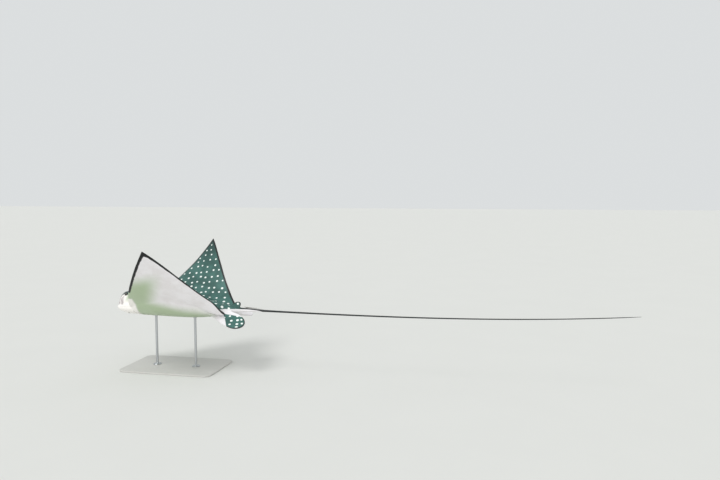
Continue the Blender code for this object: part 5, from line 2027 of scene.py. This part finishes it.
# ---- the stand
@dataclass(frozen=True)
class Stand:
    """A painted plate with two turned steel rods that reach up into the belly. Lengths are in metres."""

    length: float = 0.72
    width: float = 0.46
    thickness: float = 0.012
    corner: float = 0.05
    bevel: float = 0.0025
    rod_radius: float = 0.009
    rod_socket: float = 0.022
    flange_radius: float = 0.030
    flange_height: float = 0.007
    flange_chamfer: float = 0.003
    fillet: float = 0.003
    gap: float = 0.0003
    screw_radius: float = 0.0205
    ease: float = 0.0004            # eased edges of the foot, and its step under the fillet
    collar_radius: float = 0.0125
    collar_bevel: float = 0.0008
    collar_reach: Pair = (0.0055, 0.004)  # below and above the belly's line
    recess_radius: float = 0.00175
    rods: tuple = (("stand_rod_front", 0.215), ("stand_rod_rear", 0.425))

    def plate(self, finish: Material) -> Object:
        """The base plate, with round corners and an eased edge."""
        steps = 24
        turns = np.linspace(0, math.pi / 2, steps + 1)
        quarter = (np.arange(4) * math.pi / 2)[:, None] + turns[None]
        middle = quarter[:, :1] + math.pi / 4
        centre_x = np.copysign(self.length / 2 - self.corner, np.cos(middle))
        centre_y = np.copysign(self.width / 2 - self.corner, np.sin(middle))
        eased = np.linspace(0, math.pi / 2, 7)
        levels = [(self.bevel * (1 - math.sin(t)), self.bevel * (1 - math.cos(t))) for t in eased]
        top = [(inset, self.thickness - height) for inset, height in reversed(levels)]
        points = []
        count = 4 * (steps + 1)
        for inset, height in levels + top:
            x = centre_x + (self.corner - inset) * np.cos(quarter)
            y = centre_y + (self.corner - inset) * np.sin(quarter)
            points.append(np.stack((x, y, np.full_like(x, height)), axis=-1).reshape(-1, 3))
        rows = len(points)
        faces = ring_faces(rows, count, poles=False)
        faces += [tuple(range(count)), tuple(range((rows - 1) * count, rows * count))]
        mesh = new_mesh("stand_plate", np.concatenate(points), faces)
        piece = add_object("stand_plate", mesh, finish)
        mesh.set_sharp_from_angle(angle=math.radians(30))
        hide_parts("stand_base")
        return piece

    def screw(self) -> Object:
        """One button-head screw with a hexagonal recess, to be repeated."""
        head = [(0.0040, -0.0005), (0.0040, 0.0006), (0.0037, 0.0013), (0.0030, 0.0019), (0.0020, 0.0023),
                (0.0016, 0.0023), (0.0015, 0.0008), (0.0004, 0.0006)]
        mesh = lathe("stand_screw", head, (0, 0), 36)
        points = read_points(mesh)
        turn = np.arctan2(points[:, 1], points[:, 0])
        radius = np.hypot(points[:, 0], points[:, 1])
        hexagon = math.cos(math.pi / 6) / np.cos((turn % (math.pi / 3)) - math.pi / 6)
        inner = (radius < self.recess_radius)[:, None]
        scaled = points * np.column_stack((hexagon, hexagon, np.ones(len(turn))))
        move_points(mesh, np.where(inner, scaled, points))
        return bpy.data.objects.new("stand_screw", mesh)

    def rod(self, name: str, station: float, group: ScrewRing, finish: Material) -> Object:
        """A rod with its foot, its screws and the collar where it meets the belly.

        Args:
            name: the solid it stands for.
            station: where it meets the animal.
            group: sets the screws round the foot.
            finish: the rod's material.

        Returns:
            The piece.
        """
        belly = POSE.place(np.array([(station, 0.0, float(BODY.belly_line(station)))]))[0]
        foot = self.thickness + self.gap
        shoulder = foot + self.flange_height
        radius, wide = self.rod_radius, self.flange_radius
        chamfer, fillet = self.flange_chamfer, self.fillet
        profile = [(wide - self.ease, foot), (wide, foot + self.ease), (wide, shoulder - chamfer)]
        profile += [(wide - chamfer * share, shoulder - chamfer * (1 - share)) for share in (0.12, 0.9, 1.0)]
        for turn in np.linspace(0, math.pi / 2, 7):
            height = self.ease + 2 * fillet * (1 - math.cos(turn))
            profile.append((radius + fillet * (1 - math.sin(turn)), shoulder + height))
        low, high = belly[2] - self.collar_reach[0], belly[2] + self.collar_reach[1]
        collar, bevel = self.collar_radius, self.collar_bevel
        profile += [(radius, low), (collar - bevel, low), (collar, low + bevel), (collar, high),
                    (radius, high), (radius, belly[2] + self.rod_socket)]
        mesh = lathe(name, profile, belly[:2])
        screw = self.screw()
        mesh = group.run(mesh, count=4, ring_radius=self.screw_radius,
                         centre=(float(belly[0]), float(belly[1]), shoulder), screw=screw, Finish=finish)
        bpy.data.objects.remove(screw)
        piece = add_object(f"{name}_turned", mesh, finish)
        mesh.set_sharp_from_angle(angle=math.radians(32))
        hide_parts(name)
        return piece

    def build(self, steel: Material, paint: Material) -> None:
        """Build the whole stand."""
        self.plate(paint)
        group = ScrewRing()
        for name, station in self.rods:
            self.rod(name, station, group, steel)


# ---- the studio
@dataclass(frozen=True)
class Sun:
    """A wide, soft light from far away."""

    name: str
    way: Triple
    strength: float
    spread: float

    def build(self) -> None:
        """Hang the light."""
        data = bpy.data.lights.new(self.name, "SUN")
        data.energy = self.strength
        data.angle = math.radians(self.spread)
        light = bpy.data.objects.new(self.name, data)
        light.rotation_euler = Vector(self.way).to_track_quat("-Z", "Y").to_euler()
        bpy.context.scene.collection.objects.link(light)


@dataclass(frozen=True)
class Studio:
    """A plain pale floor, a pale surround, two wide suns and the camera."""

    camera_place: Triple = (2.327, -4.428, 1.332)
    camera_way: Pair = (-0.2036, 0.9791)
    camera_down: float = 0.0782
    lens: float = 32.5
    floor_half: float = 40.0
    floor_drop: float = 0.0005      # keeps the floor clear of the plate's underside
    surround: str = "#e6e9ea"
    surround_strength: float = 0.90
    lights: tuple[Sun, ...] = (
        Sun("key", (0.35, 0.55, -1.0), 1.05, 24.0),
        Sun("fill", (-0.40, 4.40, -0.80), 0.86, 28.0),
    )

    def floor(self) -> None:
        """Lay the floor."""
        half = self.floor_half
        corners = [(-half, -half, 0), (half, -half, 0), (half, half, 0), (-half, half, 0)]
        mesh = bpy.data.meshes.new("floor")
        mesh.from_pydata(corners, [], [(0, 1, 2, 3)])
        mesh.materials.append(FloorFinish().build())
        floor = bpy.data.objects.new("floor", mesh)
        floor.location.z = -self.floor_drop
        bpy.context.scene.collection.objects.link(floor)

    def camera(self) -> None:
        """Set up the camera."""
        data = bpy.data.cameras.new("camera")
        data.sensor_width = 36.0
        data.lens = self.lens
        data.clip_end = 200.0
        camera = bpy.data.objects.new("camera", data)
        camera.location = self.camera_place
        level = math.cos(self.camera_down)
        way = Vector((self.camera_way[0] * level, self.camera_way[1] * level, -math.sin(self.camera_down)))
        camera.rotation_mode = "QUATERNION"
        camera.rotation_quaternion = way.to_track_quat("-Z", "Y")
        bpy.context.scene.collection.objects.link(camera)
        bpy.context.scene.camera = camera

    def build(self) -> None:
        """Set up floor, surround, lights and camera."""
        self.floor()
        world = bpy.data.worlds.new("surround")
        world.use_nodes = True
        sky = world.node_tree.nodes["Background"]
        sky.inputs["Color"].default_value = linear(self.surround)
        sky.inputs["Strength"].default_value = self.surround_strength
        bpy.context.scene.world = world
        for light in self.lights:
            light.build()
        self.camera()
        bpy.context.scene.view_settings.view_transform = "Standard"


def main() -> None:
    """Build the model, its stand and the studio."""
    logging.basicConfig(level=logging.INFO, format="%(name)s: %(message)s")
    skin_finish = RaySkinFinish().build()
    SkinPiece(RaySkin()).build(skin_finish)
    NasalCurtain().build(skin_finish)
    Eyes().build(EyeFinish().build())
    spine_finish = SpineFinish().build()
    barbs = BarbRows()
    for sting in (
        Sting("sting_blade_lower", "sting_lower", 0.690, 0.0104, 0.085, 13),
        Sting("sting_blade_upper", "sting_upper", 0.682, 0.0133, 0.066, 10),
    ):
        sting.build(barbs, spine_finish)
    Stand().build(SteelFinish().build(), PaintFinish().build())
    Studio().build()


if __name__ == "__main__":
    main()
